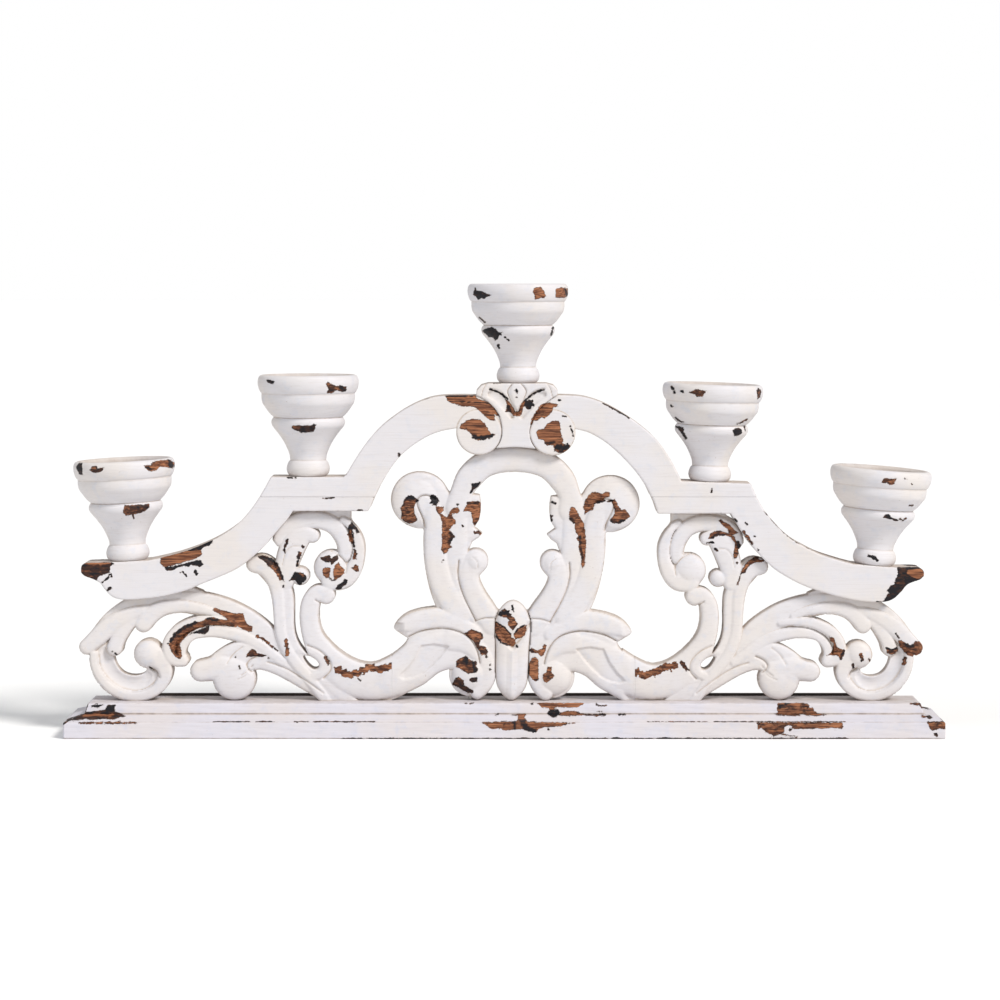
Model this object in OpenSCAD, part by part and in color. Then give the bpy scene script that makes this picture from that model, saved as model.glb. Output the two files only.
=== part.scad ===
// Carved wooden candlestick: a moulded plinth, pierced scroll panels, a stepped and
// arched rail, and five turned cups for pillar candles. Millimetres, +Z up.
// X runs along the plinth, Y from the front (-) to the back (+), Z=0 is the underside.

/* [Plinth] */
// Length of the lower plinth board
base_len = 868; // [780:1:950]
// Depth of the lower plinth board
base_dep = 98; // [90:1:120]
// Height of the lower board's square edge
edge_h = 16.7; // [12:0.1:20]
// Height of the shallow slope above the square edge
slope_h = 5.5; // [3:0.1:8]
// How far the slope runs in from the edge
slope_run = 18.5; // [12:0.5:24]
// Height of the upper board's leaning fascia
fascia_h = 10.4; // [8:0.1:14]
// How far the fascia leans in
fascia_lean = 3; // [0:0.5:5]

/* [Rail and panels] */
// Depth of the rail boards
rail_dep = 40; // [34:1:44]
// Depth of the raised strands of the carved panels
strand_dep = 28; // [24:1:32]
// Depth of the carved panels between the strands
web_dep = 21; // [16:1:26]
// Lean of the lyre panel to the right, degrees
lyre_lean = 1.15; // [0:0.05:2]

/* [Candle cups] */
// Radius of the rim
rim_r = 50.5; // [50:0.1:51.5]
// Radius of the candle recess
recess_r = 41; // [38:0.5:42]
// Depth of the candle recess
recess_dep = 24; // [15:1:26]

/* [Fasteners] */
// Radius of the dowels
dowel_r = 4; // [3:0.5:5]
// Radius of the cup screws' shanks
screw_r = 2.5; // [2:0.25:3]

/* [Hidden] */
$fn = 64;
gap = 0.1;                                   // room around dowels and screws
lower_h = edge_h + slope_h;                  // top of the lower board
base_h = lower_h + fascia_h;                 // top of the plinth
cup_h = 99;                                  // height of a cup
paint = [0.90, 0.89, 0.88];
wood = [0.55, 0.38, 0.28];
steel = [0.6, 0.6, 0.62];

// Cups: foot centre x, foot z, lean to the right in degrees
CUPS = [[-376, 172, -2.5], [-196, 256, 0], [13.75, 349, 0], [205.3, 250.8, 2], [369.6, 167.5, 4.5]];
disc_r = 22.7;                               // round ends of the arch boards
disc_l = [-25, 300.5];
disc_rt = [48, 300];
glue_z = 236;                                // glue line between arm and arch boards
seam_l = -112;                               // seams between scroll and lyre panels
seam_r = 130;

// ---- curves -------------------------------------------------------------------------
// Catmull-Rom curve through the points P, with n steps a span
function cr(a, b, c, d, t) = 0.5 * ((2 * b) + (c - a) * t + (2 * a - 5 * b + 4 * c - d) * t * t
    + (3 * b - a - 3 * c + d) * t * t * t);
function run(P, n = 4) = let(m = len(P) - 1) concat(
    [for (i = [0:m - 1], k = [0:n - 1])
        cr(P[max(i - 1, 0)], P[i], P[i + 1], P[min(i + 2, m)], k / n)], [P[m]]);
// A point on a cup's seat line, d to the right of the foot's centre
function seat(c, d) = [c[0] + d * cos(c[2]), c[1] - d * sin(c[2])];
// The right panel is the left one mirrored, a little shorter and lower
function reach(x) = 24.9 + 0.925 * abs(x);
function rise(z) = 33 + 0.982 * (z - 33);
function place(p, right) = right ? (len(p) == 3 ? [reach(p[0]), rise(p[1]), p[2] * 0.955]
    : [reach(p[0]), rise(p[1])]) : p;
// The sides of a strand: centre points with half widths, as [x, z, w]
function tangent(S, i) = let(a = S[max(i - 1, 0)], b = S[min(i + 1, len(S) - 1)],
    d = [b[0] - a[0], b[1] - a[1]]) d / norm(d);
function side(S, i, s) = let(t = tangent(S, i)) [S[i][0] - s * t[1] * S[i][2],
    S[i][1] + s * t[0] * S[i][2]];

module strand(P, slim = 0) {
    S = [for (p = run(P, 3)) [p[0], p[1], max(p[2] - slim, 0.5)]];
    for (i = [0:len(S) - 2])
        polygon([side(S, i, 1), side(S, i + 1, 1), side(S, i + 1, -1), side(S, i, -1)]);
    for (p = [S[0], S[len(S) - 1]])
        translate([p[0], p[1]]) circle(p[2], $fn = 28);
}
// Stands a drawing in X and Z upright and gives it a depth about y = 0
module upright(dep, y = 0) {
    translate([0, y, 0]) rotate([90, 0, 0]) linear_extrude(dep, center = true) children();
}
// A domed volute eye
module eye(c, r, front = 15.5) {
    translate([c[0], 0, c[1]]) rotate([90, 0, 0]) rotate_extrude()
        polygon([[0, -front], [r * 0.35, -front + 0.7], [r * 0.6, -front + 2], [r * 0.8, -front + 4],
            [r * 0.92, -front + 6.5], [r, -front + 9.5], [r, front - 9.5], [r * 0.92, front - 6.5],
            [r * 0.8, front - 4], [r * 0.6, front - 2], [r * 0.35, front - 0.7], [0, front]]);
}
module peg(p, q, r, y = 0) {                 // a dowel from p to q, both [x, z]
    d = q - p;
    translate([p[0], y, p[1]]) rotate([0, atan2(d[0], d[1]), 0]) cylinder(r = r, h = norm(d));
}

// ---- scroll panel, left side --------------------------------------------------------
// Each strand's centre line and half width
OUTER_ARCH = [[-416, 86, 7.8], [-405, 96, 9], [-392, 108.5, 11.5], [-378, 118.5, 12.5],
    [-362, 126, 12.5], [-345, 129.5, 11], [-328, 131, 10], [-310, 129.5, 11.5], [-292, 126, 12],
    [-275, 120, 12.5], [-258, 111.5, 12.3], [-243, 101, 12], [-232, 92, 10], [-221, 80, 9]];
LOBE_2 = [[-368, 114, 6], [-379, 103, 7.5], [-386, 92, 7.5], [-388.3, 85, 8]];
LOBE_3 = [[-334, 127, 7], [-345, 123, 8.5], [-354, 116, 9], [-359.5, 109.5, 9]];
LOWER_C = [[-402, 82, 11], [-402, 78, 12], [-399.5, 66, 12.3], [-393.5, 55.5, 12.6],
    [-384, 48, 12.6], [-371, 44.3, 13], [-358, 46, 13], [-348, 52.5, 13.2], [-343.5, 62, 13],
    [-346, 71, 12]];
SECOND_BAND = [[-321, 73, 7], [-326.5, 76.5, 9.5], [-328.8, 86, 12.2], [-323.5, 96, 12],
    [-313, 103.5, 11], [-300, 106.5, 11.3], [-285, 106.5, 11.3], [-270, 103, 11.3],
    [-255, 97.5, 11], [-242, 90.5, 10.5], [-230, 81, 10], [-216, 69, 10]];
LOBED_LEAF = [[-302.5, 62, 10.6], [-290, 64, 12], [-278, 71.5, 13], [-266, 79, 12],
    [-254, 82.5, 9.5], [-240, 80, 9]];
LOW_BAND = [[-258, 70, 8.5], [-250, 72, 9.3], [-240, 72, 9.3], [-225, 67.5, 9.8],
    [-210, 60.5, 10.5], [-195, 53, 11.5], [-180, 46.5, 13]];
STEM = [[-248.5, 168.5, 8.8], [-241, 168, 10.5], [-233, 161, 11], [-226.5, 151, 10],
    [-221.5, 139, 11], [-220, 125, 10.5], [-219.5, 110, 10], [-218, 97, 10], [-213.5, 85, 10],
    [-206, 74, 10.5], [-196, 63, 11.5], [-184, 53, 13]];
UPPER_LEAF = [[-191, 196.7, 7], [-199, 197.5, 9], [-208, 191, 12.5], [-214, 178, 12.5],
    [-217.5, 165, 11], [-218.5, 152, 9.5]];
UPPER_C = [[-224, 196, 7], [-218, 206, 9], [-208, 212, 9], [-194, 213, 9], [-180, 212, 9.5],
    [-168, 207.8, 11], [-158.5, 198.5, 12.8], [-153.3, 188, 13.8], [-153.3, 176, 14],
    [-157, 165, 15], [-163, 158.5, 15.5], [-171, 157, 14]];
INNER_C = [[-178, 138, 9.5], [-186.5, 139, 8.5], [-192.5, 131, 9.3], [-194.5, 119, 9.6],
    [-193.5, 107, 9.8], [-190.5, 96, 10.6], [-184.5, 84.5, 12.3], [-175, 72.5, 14.3],
    [-163, 61.5, 16.5], [-149, 54, 17.8], [-134, 51.3, 18], [-119, 53.5, 18.6], [-104, 60, 19]];
// Corner webs that fill the panel up to the rail
WEB_TOP = [[-231, 193], [-211, 223], [-153, 223], [-153, 213], [-150, 204], [-163, 200],
    [-190, 206], [-214, 196], [-226, 186]];
WEB_ARM = [[-381, 135], [-370, 140], [-312, 146], [-300, 141], [-310, 128], [-350, 122], [-376, 122]];
WEB_FOOT = [[-200, 76], [-184, 30], [-104, 30], [-104, 60], [-150, 60], [-176, 80]];
RING_HOLE = [[-200.5, 76.5], [-195, 77], [-188.5, 74], [-184.8, 69.5], [-185.6, 65.5],
    [-190, 64], [-196, 68.5]];
EYES = [[-354.8, 79, 14.6], [-269, 53.8, 21.4], [-172.5, 165, 17.5], [-203.5, 156.5, 9.2]];
STRANDS = [OUTER_ARCH, LOBE_2, LOBE_3, LOWER_C, SECOND_BAND, LOBED_LEAF, LOW_BAND, STEM,
    UPPER_LEAF, UPPER_C, INNER_C];

function shift(P, right) = [for (p = P) place(p, right)];
module panel_outline(right) {
    offset(r = 0.8, $fn = 8) offset(delta = -0.8) difference() {
        union() {
            for (P = STRANDS) strand(shift(P, right));
            for (e = EYES) translate(place([e[0], e[1]], right)) circle(e[2], $fn = 36);
            for (P = [WEB_TOP, WEB_ARM, WEB_FOOT]) polygon(shift(P, right));
        }
        polygon(run(shift(concat(RING_HOLE, [RING_HOLE[0]]), right), 3));
    }
}
module panel_strands(right) {
    offset(delta = 0.01) difference() {
        for (P = STRANDS) strand(shift(P, right), 2.2);
        polygon(run(shift(concat(RING_HOLE, [RING_HOLE[0]]), right), 3));
    }
}
// Rooms for the fasteners that enter a scroll panel
module scroll_holes(right) {
    for (d = SCROLL_PEGS) peg(place(d[0], right), place(d[1], right), dowel_r + gap);
    seam_pegs(right, dowel_r + gap);
    for (x = [-365, -145]) peg([place([x, 0], right)[0], 20], [place([x, 0], right)[0], 54], 2.35);
}
// Upright dowels from a panel into its arm board
SCROLL_PEGS = [[[-186, 206], [-186, 231]], [[-345, 120], [-345, 147]]];
module seam_pegs(right, r) {
    x = right ? seam_r : seam_l;
    for (z = [47, 62]) peg([x - 13, z], [x + 13, z], r);
}
module scroll_panel(right) {
    difference() {
        union() {
            upright(web_dep) panel_outline(right);
            upright(strand_dep) panel_strands(right);
            for (e = EYES) eye(place([e[0], e[1]], right), e[2]);
        }
        translate([-500, -60, base_h - 100]) cube([1000, 120, 100]);
        upright(60) polygon(right ? ARM_RIGHT : ARM_LEFT);
        if (right) translate([seam_r - 60, -60, 0]) cube([60, 120, 110]);
        if (!right) translate([seam_l, -60, 0]) cube([60, 120, 110]);
        scroll_holes(right);
    }
}

// ---- lyre panel: u from its own axis, v up, one half ----------------------------------
LYRE_STEM = [[-97, 231, 27], [-78, 222, 20], [-68, 205, 23.3], [-68, 190, 23], [-67.5, 175, 22.5],
    [-65, 160, 22.5], [-60, 145, 23.5], [-52, 130, 25], [-42, 115, 26]];
LYRE_RING = [[-56, 224, 14], [-54, 238, 11], [-46.5, 253, 12.8], [-33, 266, 12.8],
    [-17, 271.5, 12.6], [0, 273, 12.4]];
LYRE_INNER = [[-38.3, 170.5, 12.5], [-44.5, 160, 11], [-43.5, 149, 10.3], [-37.8, 135, 11.2],
    [-30, 122, 12], [-20, 108, 12]];
INNER_LEAF = [[-45, 238], [-35.5, 236.5], [-34.3, 229], [-34.3, 220], [-35.6, 212],
    [-40.3, 204.5], [-32.3, 198.5], [-36, 194], [-42, 190], [-44.3, 184], [-60, 176], [-70, 210],
    [-60, 236]];
SIDE_LEAF = concat(run([[-119, 75], [-112.5, 81], [-107, 87], [-104.4, 92.5]], 3),
    run([[-104.4, 92.5], [-111, 96.5], [-117, 100.5], [-118.6, 103.5], [-116, 108], [-111, 113.5],
        [-104, 118], [-96, 120.8], [-88, 122.6], [-72.5, 124.3], [-59, 121], [-47, 116.5],
        [-36.6, 111.5], [-28, 114.5], [-17, 115.5]], 3),
    [[0, 115], [0, 90], [-14, 86], [-16, 60]],
    run([[-30, 48], [-45, 55], [-58, 62.5], [-70.6, 59.6], [-78, 54.5], [-87.3, 46.8], [-102, 39],
        [-111, 34], [-119, 30]], 3), [[-140, 30], [-140, 75]]);
VOLUTE = [-40.5, 57.5, 22];
VOLUTE_WRAP = [[-60, 92, 12], [-46, 90, 12], [-34, 81, 11], [-26, 70, 9.5], [-24.2, 58, 8.8],
    [-27.5, 47, 7.5], [-34, 40, 7]];
COLUMN = concat(run([[-15, 100], [-15, 80], [-15, 60], [-13.5, 49], [-9, 41], [-4, 35], [-2, 30]], 3),
    run([[2, 30], [4, 35], [9, 41], [13.5, 49], [15, 60], [15, 80], [15, 100]], 3));
// The crest leaf's outline, let into the front of the panel
CREST = concat(run([[0, 133], [5.5, 131.3], [11, 126.5], [15.3, 119.5], [17.8, 112], [18, 104],
        [17.2, 94], [16.6, 80], [16.4, 62], [15.2, 49.5], [11.5, 41.5], [6.5, 36], [2.5, 33.2]], 3),
    run([[-2.5, 33.2], [-6.5, 36], [-11.5, 41.5], [-15.2, 49.5], [-16.4, 62], [-16.6, 80], [-17.2, 94],
        [-18, 104], [-17.8, 112], [-15.3, 119.5], [-11, 126.5], [-5.5, 131.3], [0, 133]], 3));
crest_back = -7;                             // y of the floor of the crest leaf's pocket

// Turns the lyre's own frame into the shared one: upright on the plinth, leaning a little
module lyre_frame() {
    translate([7, 0, 32.5]) rotate([0, lyre_lean, 0]) translate([0, 0, -32.5]) children();
}
module both() {
    children();
    mirror([1, 0]) children();
}
module lyre_outline() {
    offset(r = 0.8, $fn = 8) offset(delta = -0.8) union() {
        both() {
            strand(LYRE_STEM);
            strand(LYRE_RING);
            strand(LYRE_INNER);
            polygon(INNER_LEAF);
            polygon(SIDE_LEAF);
            strand(VOLUTE_WRAP);
            translate([VOLUTE[0], VOLUTE[1]]) circle(VOLUTE[2], $fn = 40);
            translate([-94, 230]) circle(28, $fn = 48);
        }
        polygon(COLUMN);
        translate([-16, 86]) square([32, 36]);
    }
}
module lyre_strands() {
    offset(delta = 0.01) both() {
        strand(LYRE_STEM, 2.5);
        strand(LYRE_RING, 2.2);
        strand(LYRE_INNER, 2);
        strand(VOLUTE_WRAP, 2);
        translate([-94, 230]) circle(25.5, $fn = 40);
    }
}
module lyre_panel() color(paint) difference() {
    lyre_frame() {
        upright(web_dep + 1) lyre_outline();
        upright(strand_dep) lyre_strands();
        for (s = [-1, 1]) eye([s * VOLUTE[0], VOLUTE[1]], VOLUTE[2], 16);
        for (s = [-1, 1]) eye([s * 38.3, 170.5], 12.5, 15.5);
    }
    translate([-500, -60, base_h - 100]) cube([1000, 120, 100]);
    translate([-300, -60, 20]) cube([300 + seam_l, 120, 70]);
    translate([seam_r, -60, 20]) cube([100, 120, 70]);
    lyre_frame() upright(30, crest_back - 15) polygon(CREST);
    upright(60) polygon(KEYSTONE);
    for (c = [disc_l, disc_rt]) translate([c[0], 0, c[1]]) rotate([90, 0, 0])
        cylinder(r = disc_r + 0.15, h = 60, center = true);
    for (s = [false, true]) seam_pegs(s, dowel_r + gap);
    ring_peg(dowel_r + gap);
    for (x = [-33.5, 47]) peg([x, 20], [x, 54], 2.35);
}
module ring_peg(r) peg([11.6, 268], [11.6, 296], r);
module crest_leaf() color(paint) difference() {
    lyre_frame() {
        upright(10, crest_back - 5) polygon(CREST);
        // centre rib
        translate([0, crest_back - 10, 34]) cylinder(r = 3, h = 88);
    }
    translate([-100, -60, base_h - 100]) cube([200, 120, 100]);
}

// ---- rail -----------------------------------------------------------------------------
ARM_LEFT = concat([[-129, glue_z], [-133, 226], [-135.5, 222]],
    run([[-210, 222], [-217, 212], [-225, 203], [-232, 194.5], [-240, 185.5], [-250, 176.5],
        [-260, 168.5], [-271, 162], [-285, 156], [-300, 150], [-315, 143.5], [-330, 139.3],
        [-345, 136.3], [-360, 134.7], [-374, 134], [-384, 134.8], [-391, 138], [-397, 144.5],
        [-402, 151], [-409, 154.7], [-417, 157.6], [-420.5, 161]], 3),
    run([[-420.5, 165], [-419.6, 168.5], seat(CUPS[0], -40)], 3), [seat(CUPS[0], 22)],
    run([[-344, 175], [-324, 180], [-304, 187], [-284, 196.3], [-266, 208.5], [-253.5, 221.5],
        [-243.3, glue_z]], 3));
ARM_RIGHT = concat([[146.3, glue_z], [149, 230], [152.5, 219.5]],
    run([[225, 219.5], [230, 211], [235, 202.5], [241, 194], [248, 184.8], [255, 177], [262, 170],
        [270, 163.3], [280, 157], [290, 151.5], [300, 147], [308, 144], [318, 141], [330, 137.5],
        [342, 134.7], [355, 132.5], [370, 131.5], [381, 132.5], [388, 135.8], [394.5, 142],
        [400, 148.6], [406, 151.6], [413, 154], [417, 157.5]], 3),
    run([[417.2, 161], [415.5, 164], [411, 165.3], seat(CUPS[4], 24)], 3), [seat(CUPS[4], -22)],
    run([[340, 171], [325, 175.5], [312, 180], [300, 186], [290, 191.5], [280, 199],
        [270.5, 208.5], [262, 218], [255.5, 227.5], [250.7, glue_z]], 3));
// The edges where the arch boards meet the keystone
KEY_LEFT = run([[-28, 337], [-20, 333.5], [-12, 327], [-6, 319], [-3, 310], [-2.3, 300.5],
    [-4.5, 291.5], [-9, 284.4]], 3);
KEY_RIGHT = run([[53, 337.3], [46, 333], [38.5, 327], [31.5, 319], [27.3, 310], [25.3, 300],
    [27.5, 291], [32.2, 283.9]], 3);
function rev(P) = [for (i = [len(P) - 1:-1:0]) P[i]];
KEYSTONE = concat([[-16, 349], [42, 349], [49, 347], [53, 342.5]], KEY_RIGHT,
    run([[22, 285], [12, 285.6], [1, 285.2]], 3), rev(KEY_LEFT), [[-27.5, 342], [-23, 347]]);
ARCH_LEFT = concat([[-129, glue_z], [-243.3, glue_z]],
    run([[-241, 240], [-238, 245], [-234.5, 251.5], [-232, 256]], 2), [[-160, 256]],
    run([[-157, 258.5], [-150, 270.5], [-142, 283], [-133, 295], [-122, 306.5], [-110, 316],
        [-98, 324], [-84, 331], [-70, 335.5], [-55, 337], [-40, 337.2]], 3), KEY_LEFT,
    [[-25, 290]], run([[-47, 304.5], [-62, 301.8], [-75, 297], [-88, 289.3], [-100, 280],
        [-109, 270], [-117, 258], [-124, 246]], 3));
ARCH_RIGHT = concat([[146.3, glue_z], [250.7, glue_z], [248, 242.5], seat(CUPS[3], 39.7),
        seat(CUPS[3], -29.3)],
    run([[174, 256.5], [168, 268.5], [160, 281.5], [150, 294.5], [138, 305.2], [125, 314.7],
        [110, 323.8], [95, 331], [80, 335.5], [68, 337]], 3), KEY_RIGHT,
    [[48, 290]], run([[71, 303.6], [82, 300.8], [92, 296], [102, 289.5], [112, 281], [122, 271],
        [130, 262], [136, 254], [141.5, 245.5]], 3));

// A hole or a screw down a cup's own axis, from foot height a to b
module on_cup(i) {
    c = CUPS[i];
    translate([c[0], 0, c[1]]) rotate([0, c[2], 0]) children();
}
module cup_pilots() {
    for (i = [0:4]) on_cup(i) translate([0, 0, -28]) cylinder(r = screw_r + gap, h = 40);
}
RAIL_PEGS = [[[-222, 228], [-222, 250]], [[-160, 226], [-160, 250]], [[170, 226], [170, 247]],
    [[234, 226], [234, 245]]];
ARCH_PEGS = [[[-19, 302], [7, 302]], [[18, 302], [44, 302]], [[-24, 328], [2, 328]], [[24, 328], [50, 328]]];
module rail_pegs(r) for (p = RAIL_PEGS) peg(p[0], p[1], r);
module arch_pegs(r) for (p = ARCH_PEGS) peg(p[0], p[1], r);
module arm_board(right) {
    difference() {
        upright(rail_dep) polygon(right ? ARM_RIGHT : ARM_LEFT);
        for (d = SCROLL_PEGS) peg(place(d[0], right), place(d[1], right), dowel_r + gap);
        rail_pegs(dowel_r + gap);
        cup_pilots();
    }
}
module arch_board(right) {
    c = right ? disc_rt : disc_l;
    difference() {
        union() {
            upright(rail_dep) polygon(right ? ARCH_RIGHT : ARCH_LEFT);
            translate([c[0], 0, c[1]]) rotate([90, 0, 0])
                cylinder(r = disc_r, h = rail_dep + 2, center = true);
        }
        rail_pegs(dowel_r + gap);
        arch_pegs(dowel_r + gap);
        cup_pilots();
    }
}
module keystone() color(paint) difference() {
    upright(rail_dep + 4) polygon(KEYSTONE);
    for (c = [disc_l, disc_rt]) translate([c[0], 0, c[1]]) rotate([90, 0, 0])
        cylinder(r = disc_r + 0.15, h = 60, center = true);
    arch_pegs(dowel_r + gap);
    ring_peg(dowel_r + gap);
    cup_pilots();
    // carved chevron: two V grooves on the front
    for (s = [-1, 1]) translate([12.6, -rail_dep / 2 - 2, 316]) rotate([0, s * 42, 0])
        translate([0, 0, 3]) rotate([0, 0, 45]) cube([3.4, 3.4, 26], center = false);
}

// ---- plinth ---------------------------------------------------------------------------
// A board with the same moulding on all four sides, mitred at the corners
module moulded(profile_x, profile_y) {
    intersection() {
        upright(300) polygon(profile_x);
        rotate([0, 0, 90]) rotate([90, 0, 0]) linear_extrude(1200, center = true) polygon(profile_y);
    }
}
function edge_profile(h) = [[-h, 0], [h, 0], [h, edge_h], [h - slope_run, lower_h],
    [-h + slope_run, lower_h], [-h, edge_h]];
function fascia_profile(h) = [[-h, lower_h], [h, lower_h], [h - fascia_lean, base_h],
    [-h + fascia_lean, base_h]];
BASE_SCREWS = [-365, -145, -33.5, 47, reach(-145), reach(-365)];
module base_bores(r) for (x = BASE_SCREWS) translate([x, 0, -1]) cylinder(r = r, h = 60);
module base_lower_board() color(paint) difference() {
    moulded(edge_profile(base_len / 2), edge_profile(base_dep / 2));
    base_bores(2.35);
    for (x = BASE_SCREWS) translate([x, 0, -1]) cylinder(r = 4.9, h = 6.4);
}
module base_upper_board() color(paint) difference() {
    moulded(fascia_profile(base_len / 2 - slope_run), fascia_profile(base_dep / 2 - slope_run));
    base_bores(2.35);
}
module rear_batten() color(wood) translate([-368, 24, base_h]) cube([732, 3.2, 2.5]);
module base_screws() color(steel) for (x = BASE_SCREWS) {
    translate([x, 0, 1.2]) cylinder(r1 = 4.6, r2 = 2.25, h = 4);
    translate([x, 0, 5.2]) cylinder(r = 2.25, h = 46);
}

// ---- candle cups ----------------------------------------------------------------------
RIM = run([[rim_r - 4, cup_h], [rim_r - 1.9, cup_h - 1], [rim_r - 0.5, cup_h - 3.5],
    [rim_r, cup_h - 7.5], [rim_r - 0.7, cup_h - 12], [rim_r - 2.3, cup_h - 16],
    [rim_r - 3.9, cup_h - 17.8]], 3);
BOWL = run([[rim_r - 3.9, cup_h - 17.8], [46.6, 76], [45.6, 71.5], [43, 67.5], [39.4, 62.5], [36, 59],
    [34.2, 57.6]], 3);
COLLAR = run([[34.2, 57.6], [35.6, 56.4], [36.8, 53.5], [36, 49.5], [33, 45.5], [28.6, 40], [24, 33],
    [20.6, 26], [18.6, 20.5], [18, 15.5]], 3);
FOOT = run([[18, 15.5], [19.8, 13.5], [21.2, 9.5], [21.5, 6.5], [20.6, 3], [18.5, 0.6], [16.5, 0]], 3);
module candle_cup(i) color(paint) on_cup(i) difference() {
    rotate_extrude() polygon(concat([[0, 0], [0, 90], [44, cup_h]], RIM, BOWL, COLLAR, FOOT));
    translate([0, 0, cup_h - recess_dep]) cylinder(r = recess_r, h = recess_dep + 1);
    translate([0, 0, cup_h - 2.5]) cylinder(r1 = recess_r, r2 = recess_r + 3.6, h = 3);
    translate([0, 0, -1]) cylinder(r = screw_r + gap, h = cup_h);
    translate([0, 0, cup_h - recess_dep - 3.1]) cylinder(r = 5.2, h = 4);
}
module cup_screws() color(steel) for (i = [0:4]) on_cup(i) {
    translate([0, 0, -25]) cylinder(r = screw_r, h = cup_h - recess_dep + 22);
    translate([0, 0, cup_h - recess_dep - 3]) cylinder(r = 5, h = 2.6);
}

// ---- named pieces ---------------------------------------------------------------------
module scroll_panel_left() color(paint) scroll_panel(false);
module scroll_panel_right() color(paint) scroll_panel(true);
module arm_board_left() color(paint) arm_board(false);
module arm_board_right() color(paint) arm_board(true);
module arch_board_left() color(paint) arch_board(false);
module arch_board_right() color(paint) arch_board(true);
module rail_dowels() color(wood) rail_pegs(dowel_r);
module arch_dowels() color(wood) {
    arch_pegs(dowel_r);
    ring_peg(dowel_r);
}
module scroll_dowels() color(wood) for (s = [false, true]) {
    for (d = SCROLL_PEGS) peg(place(d[0], s), place(d[1], s), dowel_r);
    seam_pegs(s, dowel_r);
}

base_lower_board();
base_upper_board();
rear_batten();
scroll_panel_left();
scroll_panel_right();
lyre_panel();
crest_leaf();
arm_board_left();
arm_board_right();
arch_board_left();
arch_board_right();
keystone();
candle_cup(0);  // candle_cup_1
candle_cup(1);  // candle_cup_2
candle_cup(2);  // candle_cup_3
candle_cup(3);  // candle_cup_4
candle_cup(4);  // candle_cup_5
cup_screws();
rail_dowels();
arch_dowels();
scroll_dowels();
base_screws();
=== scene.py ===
"""Carved wooden candlestick in worn white paint: reliefs, rail boards, turned cups and a
moulded plinth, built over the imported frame. The drawings are in millimetres: x to the right,
z up from the ground, and the front faces -y."""
import math

import bpy
import numpy as np
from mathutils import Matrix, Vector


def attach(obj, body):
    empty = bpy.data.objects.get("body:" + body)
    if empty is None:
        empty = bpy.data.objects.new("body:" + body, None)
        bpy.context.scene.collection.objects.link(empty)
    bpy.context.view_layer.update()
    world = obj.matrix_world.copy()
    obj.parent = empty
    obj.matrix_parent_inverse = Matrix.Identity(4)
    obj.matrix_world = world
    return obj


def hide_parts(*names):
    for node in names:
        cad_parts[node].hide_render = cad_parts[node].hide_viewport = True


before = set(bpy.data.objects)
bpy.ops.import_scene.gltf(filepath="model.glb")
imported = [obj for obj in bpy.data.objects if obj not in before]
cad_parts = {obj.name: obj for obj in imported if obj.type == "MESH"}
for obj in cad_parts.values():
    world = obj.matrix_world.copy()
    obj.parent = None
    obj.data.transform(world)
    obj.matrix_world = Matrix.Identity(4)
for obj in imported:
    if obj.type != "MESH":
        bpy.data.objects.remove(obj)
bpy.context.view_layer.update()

MM = 0.001

# Driving sizes, as in the frame
BASE_LEN, BASE_DEP = 868.0, 98.0
EDGE_H, SLOPE_H, SLOPE_RUN, FASCIA_H, FASCIA_LEAN = 16.7, 5.5, 18.5, 10.4, 3.0
LOWER_H = EDGE_H + SLOPE_H
BASE_H = LOWER_H + FASCIA_H
RAIL_HALF = 20.0
SEAM_L, SEAM_R = -112.0, 130.0
GLUE_Z = 236.0
LYRE_LEAN = math.radians(1.15)
# Cups: foot centre x, foot z, lean to the right in degrees, and how tall each was turned
CUPS = [(-376, 172, -2.5, 1.015), (-196, 256, 0, 1.02), (13.75, 349, 0, 1.0),
    (205.3, 250.8, 2, 0.985), (369.6, 167.5, 4.5, 0.975)]
# The round ends of the arch boards: centre x, z and radius
DISCS = [(-25, 300.5, 22.7), (48, 300, 22.7)]
# The lyre's own frame: its axis leans to the right about this point on the plinth
LYRE_FOOT = (7, 32.5)
# Half the lyre board's depth in the pocket that the crest leaf is let into
POCKET_HALF = 6.7
KEY_MIDDLE = 12.5
# Worn places are turned over for the back: x in front and x behind add up to this
TURNED_SUM = 7

# How far the edges are rounded
PANEL_ARRIS, BOARD_ARRIS, KEY_ARRIS, CREST_ARRIS = 2.0, 1.5, 1.6, 2.2
# The section of the S-arms at a seam: the board's half depth at the arm's sides, and its crown
S_ARM_LEVEL, S_ARM_RISE = 8.6, 5.2
# Stands for a sawn edge that is nowhere near
UNCUT = 60.0
# How far the painted contact shadow reaches up a panel from the plinth
FOOT_SHADOW_BAND = 2.2
# How finely the cups are turned, in vertices round them, and the plinth's edges are divided, in mm
CUP_SIDES = 180
PLINTH_SPACING = 1.7
# How gradually the wear layer falls off at the edge of a chip and of a thin scratch
CHIP_SOFTNESS, SCRATCH_SOFTNESS = 2.6, 1.1

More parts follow.
